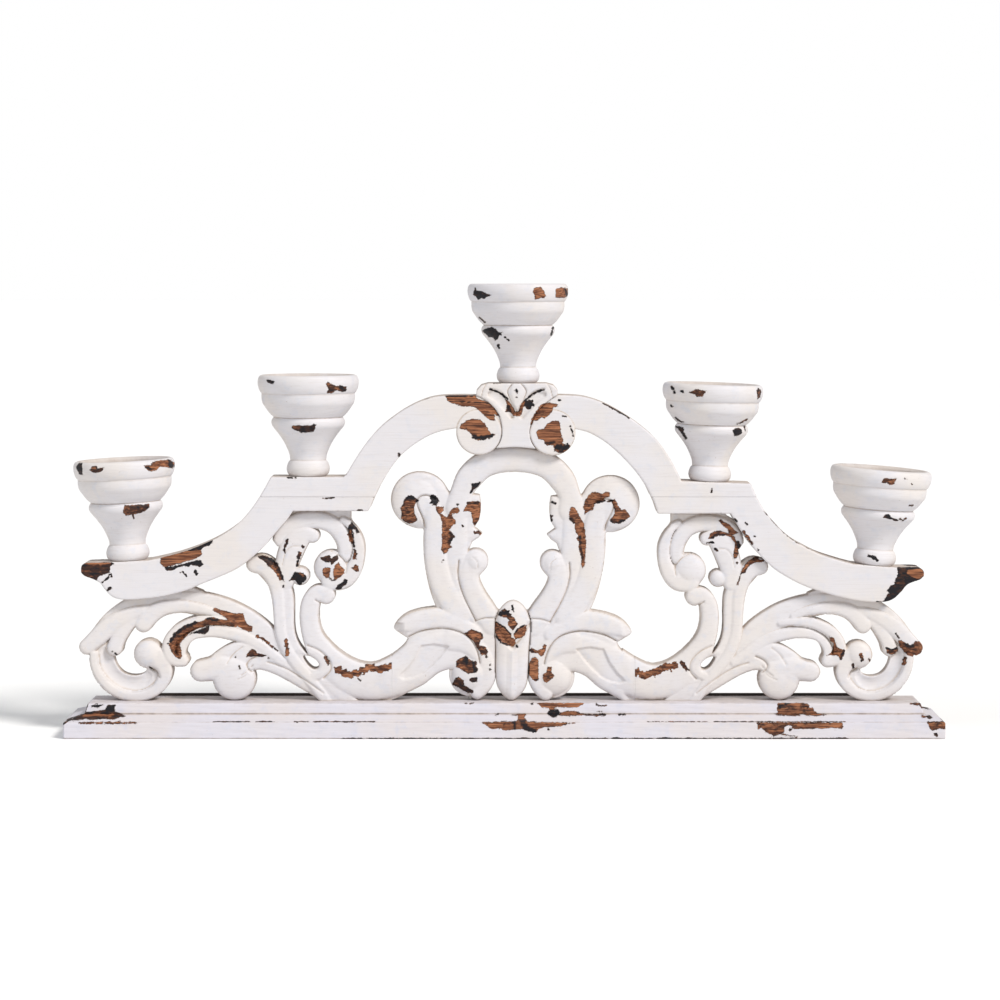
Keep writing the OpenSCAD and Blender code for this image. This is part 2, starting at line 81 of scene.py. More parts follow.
# ---- drawings: the scroll panel, left side, as [x, z, half width] ----
OUTER_ARCH = [(-416, 86, 7.8), (-405, 96, 9), (-392, 108.5, 11.5), (-378, 118.5, 12.5),
    (-362, 126, 12.5), (-345, 129.5, 11), (-328, 131, 10), (-310, 129.5, 11.5), (-292, 126, 12),
    (-275, 120, 12.5), (-258, 111.5, 12.3), (-243, 101, 12), (-232, 92, 10), (-221, 80, 9)]
ARCH_TIP = [(-416, 86, 7.8), (-405, 96, 9), (-393, 107, 9.3), (-381, 114.5, 8), (-367, 120.5, 6),
    (-350, 124.5, 3.5)]
FINGER_2 = [(-388.3, 85, 8), (-386, 92, 7.6), (-380, 102, 7.3), (-372.5, 110, 6.2), (-363, 116.5, 4.6),
    (-352, 121, 3)]
FINGER_3 = [(-359.5, 109.5, 9), (-354, 116, 9), (-345, 122.5, 8.3), (-334, 125.7, 7.2),
    (-318, 126.3, 6), (-300, 123.5, 4.8), (-284, 118.5, 3.2)]
LOWER_C = [(-402, 82, 11), (-402, 78, 12), (-399.5, 66, 12.3), (-393.5, 55.5, 12.6), (-384, 48, 12.6),
    (-371, 44.3, 13), (-358, 46, 13), (-348, 52.5, 13.2), (-343.5, 62, 13), (-346, 71, 12)]
C_RIM = [(-409, 78, 4.6), (-408, 67, 5), (-402, 55, 5.2), (-392.5, 45, 5.4), (-380, 38.5, 5.5),
    (-366, 36.5, 5.8), (-352, 39.5, 6.5), (-341.5, 47.5, 7.5), (-337, 58, 8), (-339.5, 68, 9),
    (-346, 75.5, 11)]
C_COVE = [(-396, 80, 7.5), (-394, 67, 8), (-388, 57.5, 8), (-379, 51.5, 8), (-369, 49.5, 7.6),
    (-360, 52, 7.2), (-356, 57, 6)]
SECOND_BAND = [(-321, 73, 7), (-326.5, 76.5, 9.5), (-328.8, 86, 12.2), (-323.5, 96, 12),
    (-313, 103.5, 11), (-300, 106.5, 11.3), (-285, 106.5, 11.3), (-270, 103, 11.3), (-255, 97.5, 11),
    (-242, 90.5, 10.5), (-230, 81, 10), (-216, 69, 10)]
BAND_OUTER = [(-270, 111, 3), (-285, 112.6, 4.4), (-300, 112, 5.4), (-313, 108.6, 6), (-325, 102, 6.4),
    (-333.5, 92, 6.4), (-334.8, 82, 6.3), (-330, 73.5, 6.5), (-321, 72.5, 6.4)]
BAND_INNER = [(-221, 71, 5.5), (-233, 79.5, 5.5), (-245, 88.5, 5.8), (-259, 95.5, 6), (-274, 99.5, 6.3),
    (-289, 101.2, 6.4), (-302, 99.5, 6.3), (-313, 94, 6.2), (-320, 86, 6), (-320.5, 78.5, 5.5)]
LOBED_LEAF = [(-302.5, 62, 10.6), (-290, 64, 12), (-278, 71.5, 13), (-266, 79, 12), (-254, 82.5, 9.5),
    (-240, 80, 9)]
LOW_BAND = [(-258, 70, 8.5), (-250, 72, 9.3), (-240, 72, 9.3), (-225, 67.5, 9.8), (-210, 60.5, 10.5),
    (-195, 53, 11.5), (-182, 46, 12), (-168, 36, 12), (-158, 26, 12)]
BALL_LEAF = [(-302.5, 62, 10.6), (-292, 64, 11.5), (-282, 64, 14), (-274, 58.5, 18), (-269, 54, 21)]
LEAF_BACK = [(-290, 66, 9), (-279, 72.5, 12), (-266, 79, 12), (-254, 82.5, 9.5), (-240, 80, 9)]
STEM = [(-248.5, 168.5, 8.8), (-241, 168, 10.5), (-233, 161, 11), (-226.5, 151, 10), (-221.5, 139, 11),
    (-220, 125, 10.5), (-219.5, 110, 10), (-218, 97, 10), (-213.5, 85, 10), (-206, 74, 10.5),
    (-196, 63, 11.5), (-184, 53, 13)]
STEM_LEFT = [(-248.5, 168.5, 8.8), (-240, 166.5, 9), (-232.5, 158.5, 8.2), (-227.5, 147, 7.4),
    (-225, 135, 7), (-224.3, 120, 6.6), (-223, 105, 6.4), (-220.2, 93, 6.2), (-215, 81, 6.2),
    (-207, 69.5, 6.2), (-197, 57.5, 6.2), (-187, 45, 6), (-178, 32, 6), (-172, 24, 6)]
STEM_RIGHT = [(-218.5, 154, 4), (-216.3, 140, 6), (-215.2, 125, 6.4), (-214.6, 110, 6.3),
    (-212.6, 98, 6.2), (-208, 87.5, 6.2), (-200.5, 77.5, 6.2), (-191, 66.5, 6.5), (-181, 55.5, 7),
    (-168, 43, 7), (-155, 32, 7), (-147, 25, 7)]
UPPER_LEAF = [(-191, 196.7, 7), (-199, 197.5, 9), (-208, 191, 12.5), (-214, 178, 12.5),
    (-217.5, 165, 11), (-218.5, 152, 9.5)]
UPPER_C = [(-224, 196, 7), (-218, 206, 9), (-208, 212, 9), (-194, 213, 9), (-180, 212, 9.5),
    (-168, 207.8, 11), (-158.5, 198.5, 12.8), (-153.3, 188, 13.8), (-153.3, 176, 14), (-157, 165, 15),
    (-163, 158.5, 15.5), (-171, 157, 14)]
U_INNER = [(-227, 188, 4.5), (-221, 201, 7), (-209, 210, 8), (-194, 212.5, 8.6), (-180, 211, 8.6),
    (-169, 205.5, 8.3), (-161.5, 196, 7.8), (-158.3, 185, 7.2), (-159, 176.5, 6)]
U_OUTER = [(-161, 213, 3), (-151.5, 206, 5), (-146, 196, 6.5), (-144, 183, 7), (-146, 171, 7.8),
    (-152, 160.5, 9.2), (-161, 154, 11), (-171, 153, 12)]
INNER_C = [(-178, 138, 9.5), (-186.5, 139, 8.5), (-192.5, 131, 9.3), (-194.5, 119, 9.6),
    (-193.5, 107, 9.8), (-190.5, 96, 10.6), (-184.5, 84.5, 12.3), (-175, 72.5, 14.3),
    (-163, 61.5, 16.5), (-149, 54, 17.8), (-134, 51.3, 18), (-119, 53.5, 18.6), (-104, 60, 19)]
RING = [(-204, 82, 3.5), (-197, 83, 4.5), (-188.5, 81, 5), (-181.5, 75, 5.2), (-178.5, 67.5, 5.2),
    (-182, 60.5, 5), (-189, 57, 4.5)]
WEB_TOP = [(-231, 193), (-211, 223), (-153, 223), (-153, 213), (-150, 204), (-163, 200), (-190, 206),
    (-214, 196), (-226, 186)]
WEB_ARM = [(-381, 135), (-370, 140), (-312, 146), (-300, 141), (-310, 128), (-350, 122), (-376, 122)]
WEB_FOOT = [(-200, 76), (-184, 30), (-104, 30), (-104, 60), (-150, 60), (-176, 80)]
RING_HOLE = [(-200.5, 76.5), (-195, 77), (-188.5, 74), (-184.8, 69.5), (-185.6, 65.5), (-190, 64),
    (-196, 68.5)]
EYES = [(-354.8, 79, 14.6), (-269, 53.8, 21.4), (-172.5, 165, 17.5), (-203.5, 156.5, 9.2)]
# Incised lines: points, half width, depth
SCROLL_LINES = [
    ([(-353.5, 66), (-351, 63.5), (-346, 61), (-343.5, 56)], 1.6, 3.0),
    ([(-261, 86), (-270, 79), (-276, 70)], 1.8, 1.0),
    ([(-251, 61), (-255, 64), (-256.5, 69), (-252, 74), (-244, 77.5)], 1.7, 2.6),
    ([(-262, 58), (-256, 62), (-250.5, 68)], 1.1, 1.2),
    ([(-266, 54), (-258, 57.5), (-252, 63)], 1.0, 0.9),
    ([(-188, 133), (-184, 130.5), (-180, 129)], 1.6, 2.0),
    ([(-204, 187), (-212, 186), (-218, 180), (-221, 168)], 1.4, 0.9),
    ([(-196, 88), (-184, 82.5), (-174.5, 73), (-173, 63), (-180, 55)], 1.8, 1.8),
    ([(-236, 71), (-222, 66.5), (-205, 57.5), (-188, 46), (-180, 40)], 1.5, 1.6),
    ([(-172, 181), (-163, 176), (-157, 168), (-158, 160)], 1.3, 1.6)]

# ---- drawings: the lyre panel, u from its own axis, v up, one half ----
LYRE_STEM = [(-97, 231, 27), (-78, 222, 20), (-68, 205, 23.3), (-68, 190, 23), (-67.5, 175, 22.5),
    (-65, 160, 22.5), (-60, 145, 23.5), (-52, 130, 25), (-42, 115, 26)]
STEM_OUTER = [(-85, 226, 9), (-80, 212, 10.5), (-78.5, 195, 11.5), (-78, 178, 11.8), (-75.5, 161, 11.8),
    (-70.5, 146, 12), (-63, 133, 12.5), (-53, 120, 14)]
STEM_INNER = [(-56, 212, 9), (-57.5, 195, 11), (-57.5, 180, 11), (-56, 163, 10.5), (-51.5, 147, 10.5),
    (-45, 133, 11), (-36, 120, 12)]
LYRE_RING = [(-56, 224, 14), (-54, 238, 11), (-46.5, 253, 12.8), (-33, 266, 12.8), (-17, 271.5, 12.6),
    (0, 273, 12.4)]
LYRE_INNER = [(-38.3, 170.5, 12.5), (-44.5, 160, 11), (-43.5, 149, 10.3), (-37.8, 135, 11.2),
    (-30, 122, 12), (-20, 108, 12)]
INNER_LEAF = [(-45, 238), (-35.5, 236.5), (-34.3, 229), (-34.3, 220), (-35.6, 212), (-40.3, 204.5),
    (-32.3, 198.5), (-36, 194), (-42, 190), (-44.3, 184), (-60, 176), (-70, 210), (-60, 236)]
WING_TIP = [(-119, 75), (-112.5, 81), (-107, 87), (-104.4, 92.5)]
WING_TOP = [(-104.4, 92.5), (-111, 96.5), (-117, 100.5), (-118.6, 103.5), (-116, 108), (-111, 113.5),
    (-104, 118), (-96, 120.8), (-88, 122.6), (-72.5, 124.3), (-59, 121), (-47, 116.5), (-36.6, 111.5),
    (-28, 114.5), (-17, 115.5)]
WING_FOOT = [(-30, 48), (-45, 55), (-58, 62.5), (-70.6, 59.6), (-78, 54.5), (-87.3, 46.8), (-102, 39),
    (-111, 34), (-119, 30)]
VOLUTE = (-40.5, 57.5, 22)
VOLUTE_WRAP = [(-60, 92, 12), (-46, 90, 12), (-34, 81, 11), (-26, 70, 9.5), (-24.2, 58, 8.8),
    (-27.5, 47, 7.5), (-34, 40, 7)]
S_ARM_LEFT = [(-141.5, 48.5, 18), (-126.5, 51, 18.6), (-111.5, 58, 19), (-98, 70, 18), (-85, 82, 15),
    (-67, 91, 10.5), (-50, 90, 8.5)]
S_ARM_RIGHT = [(141.5, 53, 17.5), (127.5, 55.5, 17.8), (113.5, 61.5, 18), (99, 71, 18), (85, 82, 15),
    (67, 91, 10.5), (50, 90, 8.5)]
WING = [(-112, 104, 6), (-100, 108, 9.5), (-84, 111.5, 11), (-68, 111.5, 10.5), (-52, 106.5, 9),
    (-38, 99, 8)]
SUNK_LEAF = [(-115, 54), (-104.5, 64), (-97.5, 73.5), (-91.5, 86.5), (-78, 88.5), (-62, 86), (-71, 74),
    (-79, 65.5), (-88, 57.5), (-98, 52.5), (-107, 51)]
COLUMN_SIDE = [(15, 100), (15, 80), (15, 60), (13.5, 49), (9, 41), (4, 35), (2, 30)]
CREST_SIDE = [(0, 133), (5.5, 131.3), (11, 126.5), (15.3, 119.5), (17.8, 112), (18, 104), (17.2, 94),
    (16.6, 80), (16.4, 62), (15.2, 49.5), (11.5, 41.5), (6.5, 36), (2.5, 33.2)]
LYRE_LINES = [
    ([(-103, 94.5), (-93, 99.5), (-82, 102.3), (-68, 103.5), (-55, 101), (-45, 96), (-38, 88), (-34, 79),
        (-32, 70)], 1.4, 3.2),
    ([(-89, 203), (-91.5, 212), (-96, 222), (-98, 229), (-95, 234), (-88, 235.5), (-80, 232)], 1.5, 3.0),
    ([(-55, 171), (-55.8, 159), (-53.5, 147), (-49, 135), (-43, 123), (-37, 112)], 1.4, 2.6),
    ([(-37, 111.5), (-29, 114.3), (-18, 115)], 1.3, 2.0),
    ([(-42, 175), (-37, 171), (-36, 165)], 1.2, 0.8)]

# The S-arms that run through from a scroll panel to the lyre, over the seam at the given x
THROUGH_ARMS = [
    (SEAM_L, [(-134, 51.3, 18.2), (-119, 53.5, 19), (-104, 60, 19.4), (-90, 71, 18.5)]),
    (SEAM_R, [(149, 51, 17.5), (135, 53, 18.1), (121, 59.3, 18.5), (107, 69, 18)])]

# ---- drawings: the rail ----
ARM_LEFT_UNDER = [(-210, 222), (-217, 212), (-225, 203), (-232, 194.5), (-240, 185.5), (-250, 176.5),
    (-260, 168.5), (-271, 162), (-285, 156), (-300, 150), (-315, 143.5), (-330, 139.3), (-345, 136.3),
    (-360, 134.7), (-374, 134), (-384, 134.8), (-391, 138), (-397, 144.5), (-402, 151),
    (-409, 154.7), (-417, 157.6), (-420.5, 161)]
ARM_LEFT_TOP = [(-344, 175), (-324, 180), (-304, 187), (-284, 196.3), (-266, 208.5), (-253.5, 221.5),
    (-243.3, 236)]
ARM_RIGHT_UNDER = [(225, 219.5), (230, 211), (235, 202.5), (241, 194), (248, 184.8), (255, 177),
    (262, 170), (270, 163.3), (280, 157), (290, 151.5), (300, 147), (308, 144), (318, 141),
    (330, 137.5), (342, 134.7), (355, 132.5), (370, 131.5), (381, 132.5), (388, 135.8),
    (394.5, 142), (400, 148.6), (406, 151.6), (413, 154), (417, 157.5)]
ARM_RIGHT_TOP = [(340, 171), (325, 175.5), (312, 180), (300, 186), (290, 191.5), (280, 199),
    (270.5, 208.5), (262, 218), (255.5, 227.5), (250.7, 236)]
KEY_LEFT = [(-28, 337), (-20, 333.5), (-12, 327), (-6, 319), (-3, 310), (-2.3, 300.5), (-4.5, 291.5),
    (-9, 284.4)]
KEY_RIGHT = [(53, 337.3), (46, 333), (38.5, 327), (31.5, 319), (27.3, 310), (25.3, 300), (27.5, 291),
    (32.2, 283.9)]
# On the keystone, x from its middle: a hollowed leaf, the bead between the two leaves, their lines
KEY_LEAF = [(26, 338, 4), (18, 335, 6), (11, 326, 5), (5, 316, 3)]
KEY_BEAD = [(0, 347, 4.5), (0, 341, 6.6), (0, 334, 4.2), (0, 327, 1.8)]
KEY_LINES = [
    ([(27, 343.5), (20.5, 342), (14.5, 338.5), (9, 332.5), (4, 325), (0.5, 318)], 1.5, 2.2),
    ([(3, 349.5), (7, 345.5), (9.2, 341), (7.5, 335), (4, 328), (0, 321.5)], 1.1, 1.7),
    ([(30, 349), (33.5, 343), (35, 337), (38.5, 330)], 1.0, 1.1)]
ARCH_LEFT_TOP = [(-157, 258.5), (-150, 270.5), (-142, 283), (-133, 295), (-122, 306.5), (-110, 316),
    (-98, 324), (-84, 331), (-70, 335.5), (-55, 337), (-40, 337.2)]
ARCH_LEFT_UNDER = [(-47, 304.5), (-62, 301.8), (-75, 297), (-88, 289.3), (-100, 280), (-109, 270),
    (-117, 258), (-124, 246)]
ARCH_RIGHT_TOP = [(174, 256.5), (168, 268.5), (160, 281.5), (150, 294.5), (138, 305.2), (125, 314.7),
    (110, 323.8), (95, 331), (80, 335.5), (68, 337)]
ARCH_RIGHT_UNDER = [(71, 303.6), (82, 300.8), (92, 296), (102, 289.5), (112, 281), (122, 271),
    (130, 262), (136, 254), (141.5, 245.5)]

# ---- drawings: a cup's profile as [radius, height] ----
RIM = [(46.5, 99), (48.6, 98), (50, 95.5), (50.5, 91.5), (49.8, 87), (48.2, 83), (46.6, 81.2)]
BOWL = [(46.6, 81.2), (46.6, 76), (45.6, 71.5), (43, 67.5), (39.4, 62.5), (36, 59), (34.2, 57.6)]
COLLAR = [(34.2, 57.6), (35.6, 56.4), (36.8, 53.5), (36, 49.5), (33, 45.5), (28.6, 40), (24, 33),
    (20.6, 26), (18.6, 20.5), (18, 15.5)]
FOOT = [(18, 15.5), (19.8, 13.5), (21.2, 9.5), (21.5, 6.5), (20.6, 3), (18.5, 0.6), (16.5, 0)]
RECESS = [(0.1, 71.9), (5.2, 71.9), (5.2, 75), (38, 75), (40.2, 75.6), (41, 77.5), (41, 95), (41.4, 96.5),
    (43.4, 98.4), (44.4, 99)]

# ---- worn places ----
# Each is how dark its bare wood is (0 light to 1 black), a half width, and a path of [x, z].
# A half width of 0 makes the path a closed outline.
WORN = {}
WORN["rail"] = [
    (0.75, 0, [(-424, 177), (-418, 173), (-410, 171.5), (-400, 171.5), (-389, 171), (-387.5, 170),
        (-391, 167), (-392, 161), (-396, 159.5), (-401, 158), (-404, 156), (-405, 151), (-410, 154),
        (-424, 158)]),
    (0.1, 1.0, [(-420, 170.3), (-405, 170.5), (-392, 170.3)]),
    (0.4, 1.2, [(-420, 163), (-411, 162)]),
    (0.95, 0.9, [(-399, 151.5), (-394, 155.5), (-391, 160), (-390, 157)]),
    (0.95, 1.3, [(-394, 143.5), (-391, 146)]),
    (0.05, 0, [(-342, 171), (-341, 176), (-335, 178.5), (-325, 180.5), (-315, 183), (-306, 185),
        (-301, 183), (-300, 179), (-303, 176.5), (-309, 174), (-318, 171.5), (-328, 168.5), (-337, 166.5),
        (-341, 169)]),
    (0.98, 0, [(-338, 167), (-336, 163), (-330, 163), (-325, 166), (-318, 167.5), (-313, 166.5),
        (-311, 169), (-305, 167.5), (-303, 166.5), (-299, 169), (-301, 173), (-305, 173.5), (-312, 171.5),
        (-322, 169), (-330, 167)]),
    (0.95, 0, [(-317, 182), (-308, 186), (-300, 190), (-292, 195), (-289, 192), (-292, 188.5),
        (-300, 185.5), (-302, 183), (-309, 183)]),
    (0.98, 0.9, [(-322, 161.5), (-319, 161.5), (-316, 158)]),
    (0.98, 1.4, [(-307, 162), (-305.5, 160)]),
    (0.7, 0.6, [(-180, 234.5), (-168, 235.5)]),
    (0.8, 0.8, [(-145, 223), (-141, 223)]),
    (0.25, 0, [(-59, 339), (-45, 339.5), (-30, 339), (-27, 334), (-17, 331), (-10, 325), (-4, 316),
        (-10, 318), (-9, 312), (-14, 312.5), (-20, 317), (-24, 321), (-30, 326), (-40, 326), (-48, 328),
        (-55, 330), (-57, 333)]),
    (0.9, 0.7, [(-58, 336.5), (-45, 336.5), (-31, 336.5)]),
    (0.85, 0.5, [(-54, 331), (-35, 330.5), (-16, 329.5)]),
    (0.25, 0, [(-45, 304), (-43, 308), (-38, 312), (-31, 314), (-24, 313), (-19, 309), (-16, 303),
        (-13, 299), (-8, 299), (-11, 296.5), (-15, 295), (-20, 293), (-25, 292.5), (-29, 293), (-31, 296),
        (-34, 300), (-38, 303)]),
    (0.95, 1.9, [(-30, 296), (-20, 294.5), (-13, 297)]),
    (0.3, 0, [(30, 319), (34, 325), (38, 329), (45, 330), (53, 328), (54, 325.5), (49, 325.5), (48, 322),
        (45, 318), (40, 314), (37, 316), (33, 312), (29, 312), (28, 308), (26, 308), (27, 314)]),
    (0.9, 1.0, [(54, 332.5), (55, 332)]),
    (0.9, 0.9, [(58.5, 316.5), (61, 316)]),
    (0.2, 0, [(32, 301), (33, 303), (39, 303.5), (42, 308), (47, 311.5), (54, 312), (56, 307), (56, 300),
        (57, 297), (58.5, 293), (58, 290), (61, 287), (65, 288), (66, 285), (61, 281), (57, 279.5),
        (52, 281), (50, 284), (49, 287.5), (43, 287.5), (40, 289), (39, 293), (34, 294), (32.5, 297)]),
    (0.97, 3.4, [(53, 285), (57, 284), (62, 286)]),
    (0.8, 1.4, [(41, 289.5), (50, 290)]),
    (0.9, 0.7, [(65, 307), (67.5, 302), (68.5, 297)]),
    (0.8, 1.0, [(-105, 279), (-102, 272)]),
    (0.7, 0.5, [(-84, 332), (-72, 335.5)]),
    (0.8, 0.8, [(98, 329.5), (112, 322), (124, 315)]),
    (0.8, 0.9, [(206, 244), (206, 241)]),
    (0.9, 0, [(389.5, 168), (400, 169), (408, 171), (425, 172), (425, 150), (400, 140), (390, 127),
        (374, 129), (374, 132), (377, 133), (380, 139), (382, 140.5), (380, 143), (384, 148), (387, 149.5),
        (388, 153), (390, 157), (391, 163)]),
    (0.1, 0, [(401, 163.5), (413, 165), (417, 162), (417, 158), (412, 154.5), (405, 157), (400, 160)]),
    (0.8, 0.7, [(370, 132), (374, 132)]),
    (0.9, 0.8, [(-216, 255.3), (-207, 255.3)]),
    (0.55, 0, [(236, 202), (239, 203), (240, 199), (243, 197.5), (245, 193), (248, 190), (246, 188),
        (243, 192), (240, 196)]),
    (0.95, 0.8, [(228.5, 215), (231.5, 211.5)]),
    (0.95, 1.0, [(240, 210), (241, 209.3)]),
    (0.95, 0.8, [(248.3, 197.5), (248.7, 197.3)]),
    (0.95, 0.8, [(251.8, 183.7), (252.2, 183.5)]),
    (0.65, 0.35, [(258, 222), (264, 215), (272, 206), (282, 197), (292, 190)]),
    (0.65, 0.4, [(300, 186.5), (307, 183)]),
]

WORN["keystone"] = [
    (0.95, 1.0, [(-14, 343), (-8, 341.5), (-2, 338), (3, 333.5)]),
    (0.95, 1.0, [(39, 342.5), (33, 341), (27, 337.5), (22, 333)]),
    (0.4, 0, [(1, 333), (5, 331), (9, 325), (11.5, 321), (14, 322), (17, 329), (21, 334), (23, 330),
        (19, 325), (17.5, 319), (16, 316.5), (9, 316.5), (7, 320), (1, 321), (3, 326)]),
    (0.9, 2.0, [(4, 325), (5, 322)]),
    (0.98, 4.3, [(24.5, 329.3), (25, 328)]),
    (0.97, 1.7, [(12, 341.5), (12.2, 340.5)]),
    (0.9, 0.8, [(12, 335.5), (12.4, 335.2)]),
    (0.9, 0.8, [(-10, 349.5), (-3, 349.8)]),
]

WORN["scroll_left"] = [
    (0.4, 0, [(-334, 89), (-331, 96), (-326, 102), (-320, 106.5), (-313, 108), (-308, 111), (-300, 112),
        (-296, 115.5), (-290, 116), (-285, 114), (-276, 113), (-273, 110.5), (-266, 108), (-267, 105.5),
        (-280, 107.5), (-295, 107.5), (-305, 104.5), (-313, 100.5), (-319, 94), (-323, 90), (-322, 84),
        (-321, 77), (-323, 74), (-328, 77), (-331, 81)]),
    (0.92, 1.5, [(-334, 90), (-328, 99), (-318, 106), (-306, 111)]),
    (0.95, 1.5, [(-295, 114.5), (-286, 113)]),
    (0.95, 0, [(-319, 95), (-312, 100), (-300, 105), (-294, 107), (-294, 103), (-298, 99), (-306, 100),
        (-312, 99)]),
    (0.05, 0, [(-291, 123), (-288, 125), (-280, 122.5), (-270, 119.5), (-260, 119.5), (-258, 112),
        (-256, 108.5), (-251, 106.5), (-251, 101), (-255, 101), (-262, 104.5), (-266, 107), (-275, 112),
        (-277, 115), (-284, 119)]),
    (0.35, 1.2, [(-247, 97), (-241, 94), (-235, 90), (-231, 86)]),
    (0.85, 0.8, [(-231, 86), (-226, 82)]),
    (0.6, 0, [(-257, 76), (-256, 79.5), (-252, 84.5), (-249, 84), (-246, 80.5), (-237, 77.5), (-240, 76),
        (-250, 76.5)]),
    (0.8, 0.8, [(-234.5, 75), (-234, 75)]),
    (0.8, 0.7, [(-268, 76), (-267.5, 76)]),
    (0.9, 0.7, [(-264, 68), (-263, 65)]),
    (0.9, 0.7, [(-354, 66), (-349, 63)]),
    (0.85, 0.9, [(-390, 82), (-386, 78)]),
    (0.7, 0, [(-246, 176), (-243, 177), (-238, 177), (-231, 173), (-225, 168), (-222, 161), (-220, 155),
        (-219, 151.5), (-222, 153), (-224, 152), (-225, 158), (-227, 162), (-231, 163), (-235, 167),
        (-239, 172)]),
    (0.95, 0.9, [(-243, 176), (-233, 173.5), (-226, 168.5), (-221, 156)]),
    (0.2, 1.2, [(-231, 166), (-226, 160), (-223, 154)]),
    (0.9, 1.0, [(-220, 147.5), (-220, 146)]),
    (0.98, 0, [(-214.5, 152), (-211, 157), (-209, 161), (-205, 160.5), (-200, 160), (-197, 156),
        (-197, 153), (-201, 150), (-204, 146), (-206, 149), (-208, 153)]),
    (0.3, 1.0, [(-203, 160), (-200, 157)]),
    (0.6, 1.6, [(-203, 180), (-205, 175)]),
    (0.85, 1.1, [(-205, 175), (-206, 167)]),
    (0.9, 1.2, [(-201, 187), (-200, 185.5)]),
    (0.85, 1.2, [(-216, 193), (-217, 189), (-219, 184), (-218.5, 181)]),
    (0.9, 0, [(-156, 204), (-155, 207), (-151, 212), (-149, 208), (-145, 205), (-144, 200), (-147, 199),
        (-148, 203), (-151, 204), (-151, 200), (-155, 200)]),
    (0.15, 1.8, [(-154, 200), (-153, 195), (-151, 190)]),
    (0.85, 0.9, [(-151, 200), (-150, 190), (-149.5, 186)]),
    (0.75, 1.3, [(-149, 183), (-147.5, 179)]),
    (0.1, 1.5, [(-149, 179), (-149, 174)]),
    (0.5, 0, [(-153, 165), (-150, 166), (-148, 169), (-145, 167), (-145, 162), (-147, 161)]),
    (0.7, 0, [(-184, 176), (-180, 175.5), (-174, 178.5), (-172, 175), (-166, 178), (-165, 174),
        (-168, 171), (-172, 168), (-173, 170.5), (-178, 171), (-182, 173)]),
    (0.25, 0, [(-181, 161), (-180, 165), (-176, 166), (-173, 165), (-174, 156), (-177, 155),
        (-180, 157.5)]),
    (0.0, 0, [(-170, 164), (-168, 168), (-165, 171), (-163, 167), (-159, 163), (-159, 160), (-163, 156),
        (-168, 153), (-170, 156)]),
    (0.9, 0.8, [(-174, 155), (-171, 152.5), (-168, 153)]),
    (0.98, 0, [(-168, 144), (-166, 148), (-161, 151), (-159, 154), (-156, 153), (-157, 149), (-161, 146),
        (-163, 143.5)]),
    (0.35, 1.9, [(-217.5, 93), (-216.5, 86), (-216, 79.5)]),
    (0.6, 1.5, [(-178, 76), (-175, 70)]),
    (0.4, 3.4, [(-166, 64), (-157, 59), (-146, 60), (-136, 66), (-124, 64), (-113, 67)]),
    (0.9, 0.9, [(-145, 54), (-143, 53)]),
]

WORN["scroll_right"] = [
    (0.45, 0, [(203, 194), (205, 199), (209, 201.5), (215, 202), (221, 200), (226, 198), (229, 196),
        (231, 192), (234, 191), (236, 187), (234, 184), (233, 178), (232, 175), (229, 174), (228, 178),
        (229, 184), (230, 190), (227, 193), (226, 195.5), (221, 197), (214, 197.5), (210, 196),
        (208, 194)]),
    (0.9, 1.0, [(206, 195), (211, 198), (218, 198)]),
    (0.9, 1.6, [(232.5, 190), (234, 186)]),
    (0.9, 1.0, [(202, 190), (208, 190.5)]),
    (0.35, 0, [(213, 212), (216, 214), (219, 210.5), (223, 209), (226, 206), (229, 203), (233, 200),
        (227, 197), (224, 199), (222, 204), (218, 207)]),
    (0.9, 1.0, [(210, 184.5), (212, 182.5)]),
    (0.8, 0.8, [(231.5, 170), (232, 169.5)]),
    (0.6, 0, [(231, 148), (233, 152), (236, 162), (241, 170), (247, 174), (252, 177), (254, 178.5),
        (256, 176), (253, 174), (259, 172.5), (258, 171), (250, 170.5), (245, 168), (241, 164), (240, 160),
        (236, 159), (234, 152), (233, 148)]),
    (0.2, 0.9, [(238, 163), (243, 169), (250, 172), (257, 172)]),
    (0.95, 1.1, [(265, 158), (265, 157)]),
    (0.35, 0, [(321, 77.5), (325, 80), (328, 84), (328, 90), (325, 92), (323, 97), (328, 95.5), (330, 90),
        (331, 87), (335, 84), (339, 84), (339, 80), (337, 76), (334, 73), (333, 77), (330, 78)]),
    (0.85, 1.2, [(338, 83), (335, 75)]),
    (0.4, 1.6, [(355, 79), (356, 75)]),
    (0.9, 1.1, [(355.5, 73), (355.5, 72)]),
    (0.9, 1.3, [(347, 68.5), (347.5, 65)]),
    (0.6, 1.0, [(363, 74), (364, 72.5)]),
    (0.5, 0, [(380, 86.5), (384, 83.5), (388, 84), (392, 86), (393, 82), (390, 79.5), (385, 78.5),
        (381, 80)]),
    (0.95, 1.1, [(381, 85), (386, 83), (391, 85)]),
    (0.45, 0, [(392, 93.5), (396, 93), (400, 90), (404, 88), (407, 88.5), (409, 92), (415, 92), (420, 88),
        (420, 82), (414, 77), (408, 76.5), (403, 77), (398, 82), (394, 87)]),
    (0.9, 1.8, [(401, 88), (407, 87)]),
    (0.05, 1.2, [(396, 87), (401, 81), (405, 78.5)]),
    (0.9, 0.8, [(390, 99.5), (393, 95)]),
    (0.5, 1.4, [(400, 75), (398, 69)]),
    (0.4, 3.4, [(127, 63), (138, 58), (150, 61), (160, 66), (170, 68)]),
    (0.6, 1.8, [(177, 71), (182, 64)]),
]

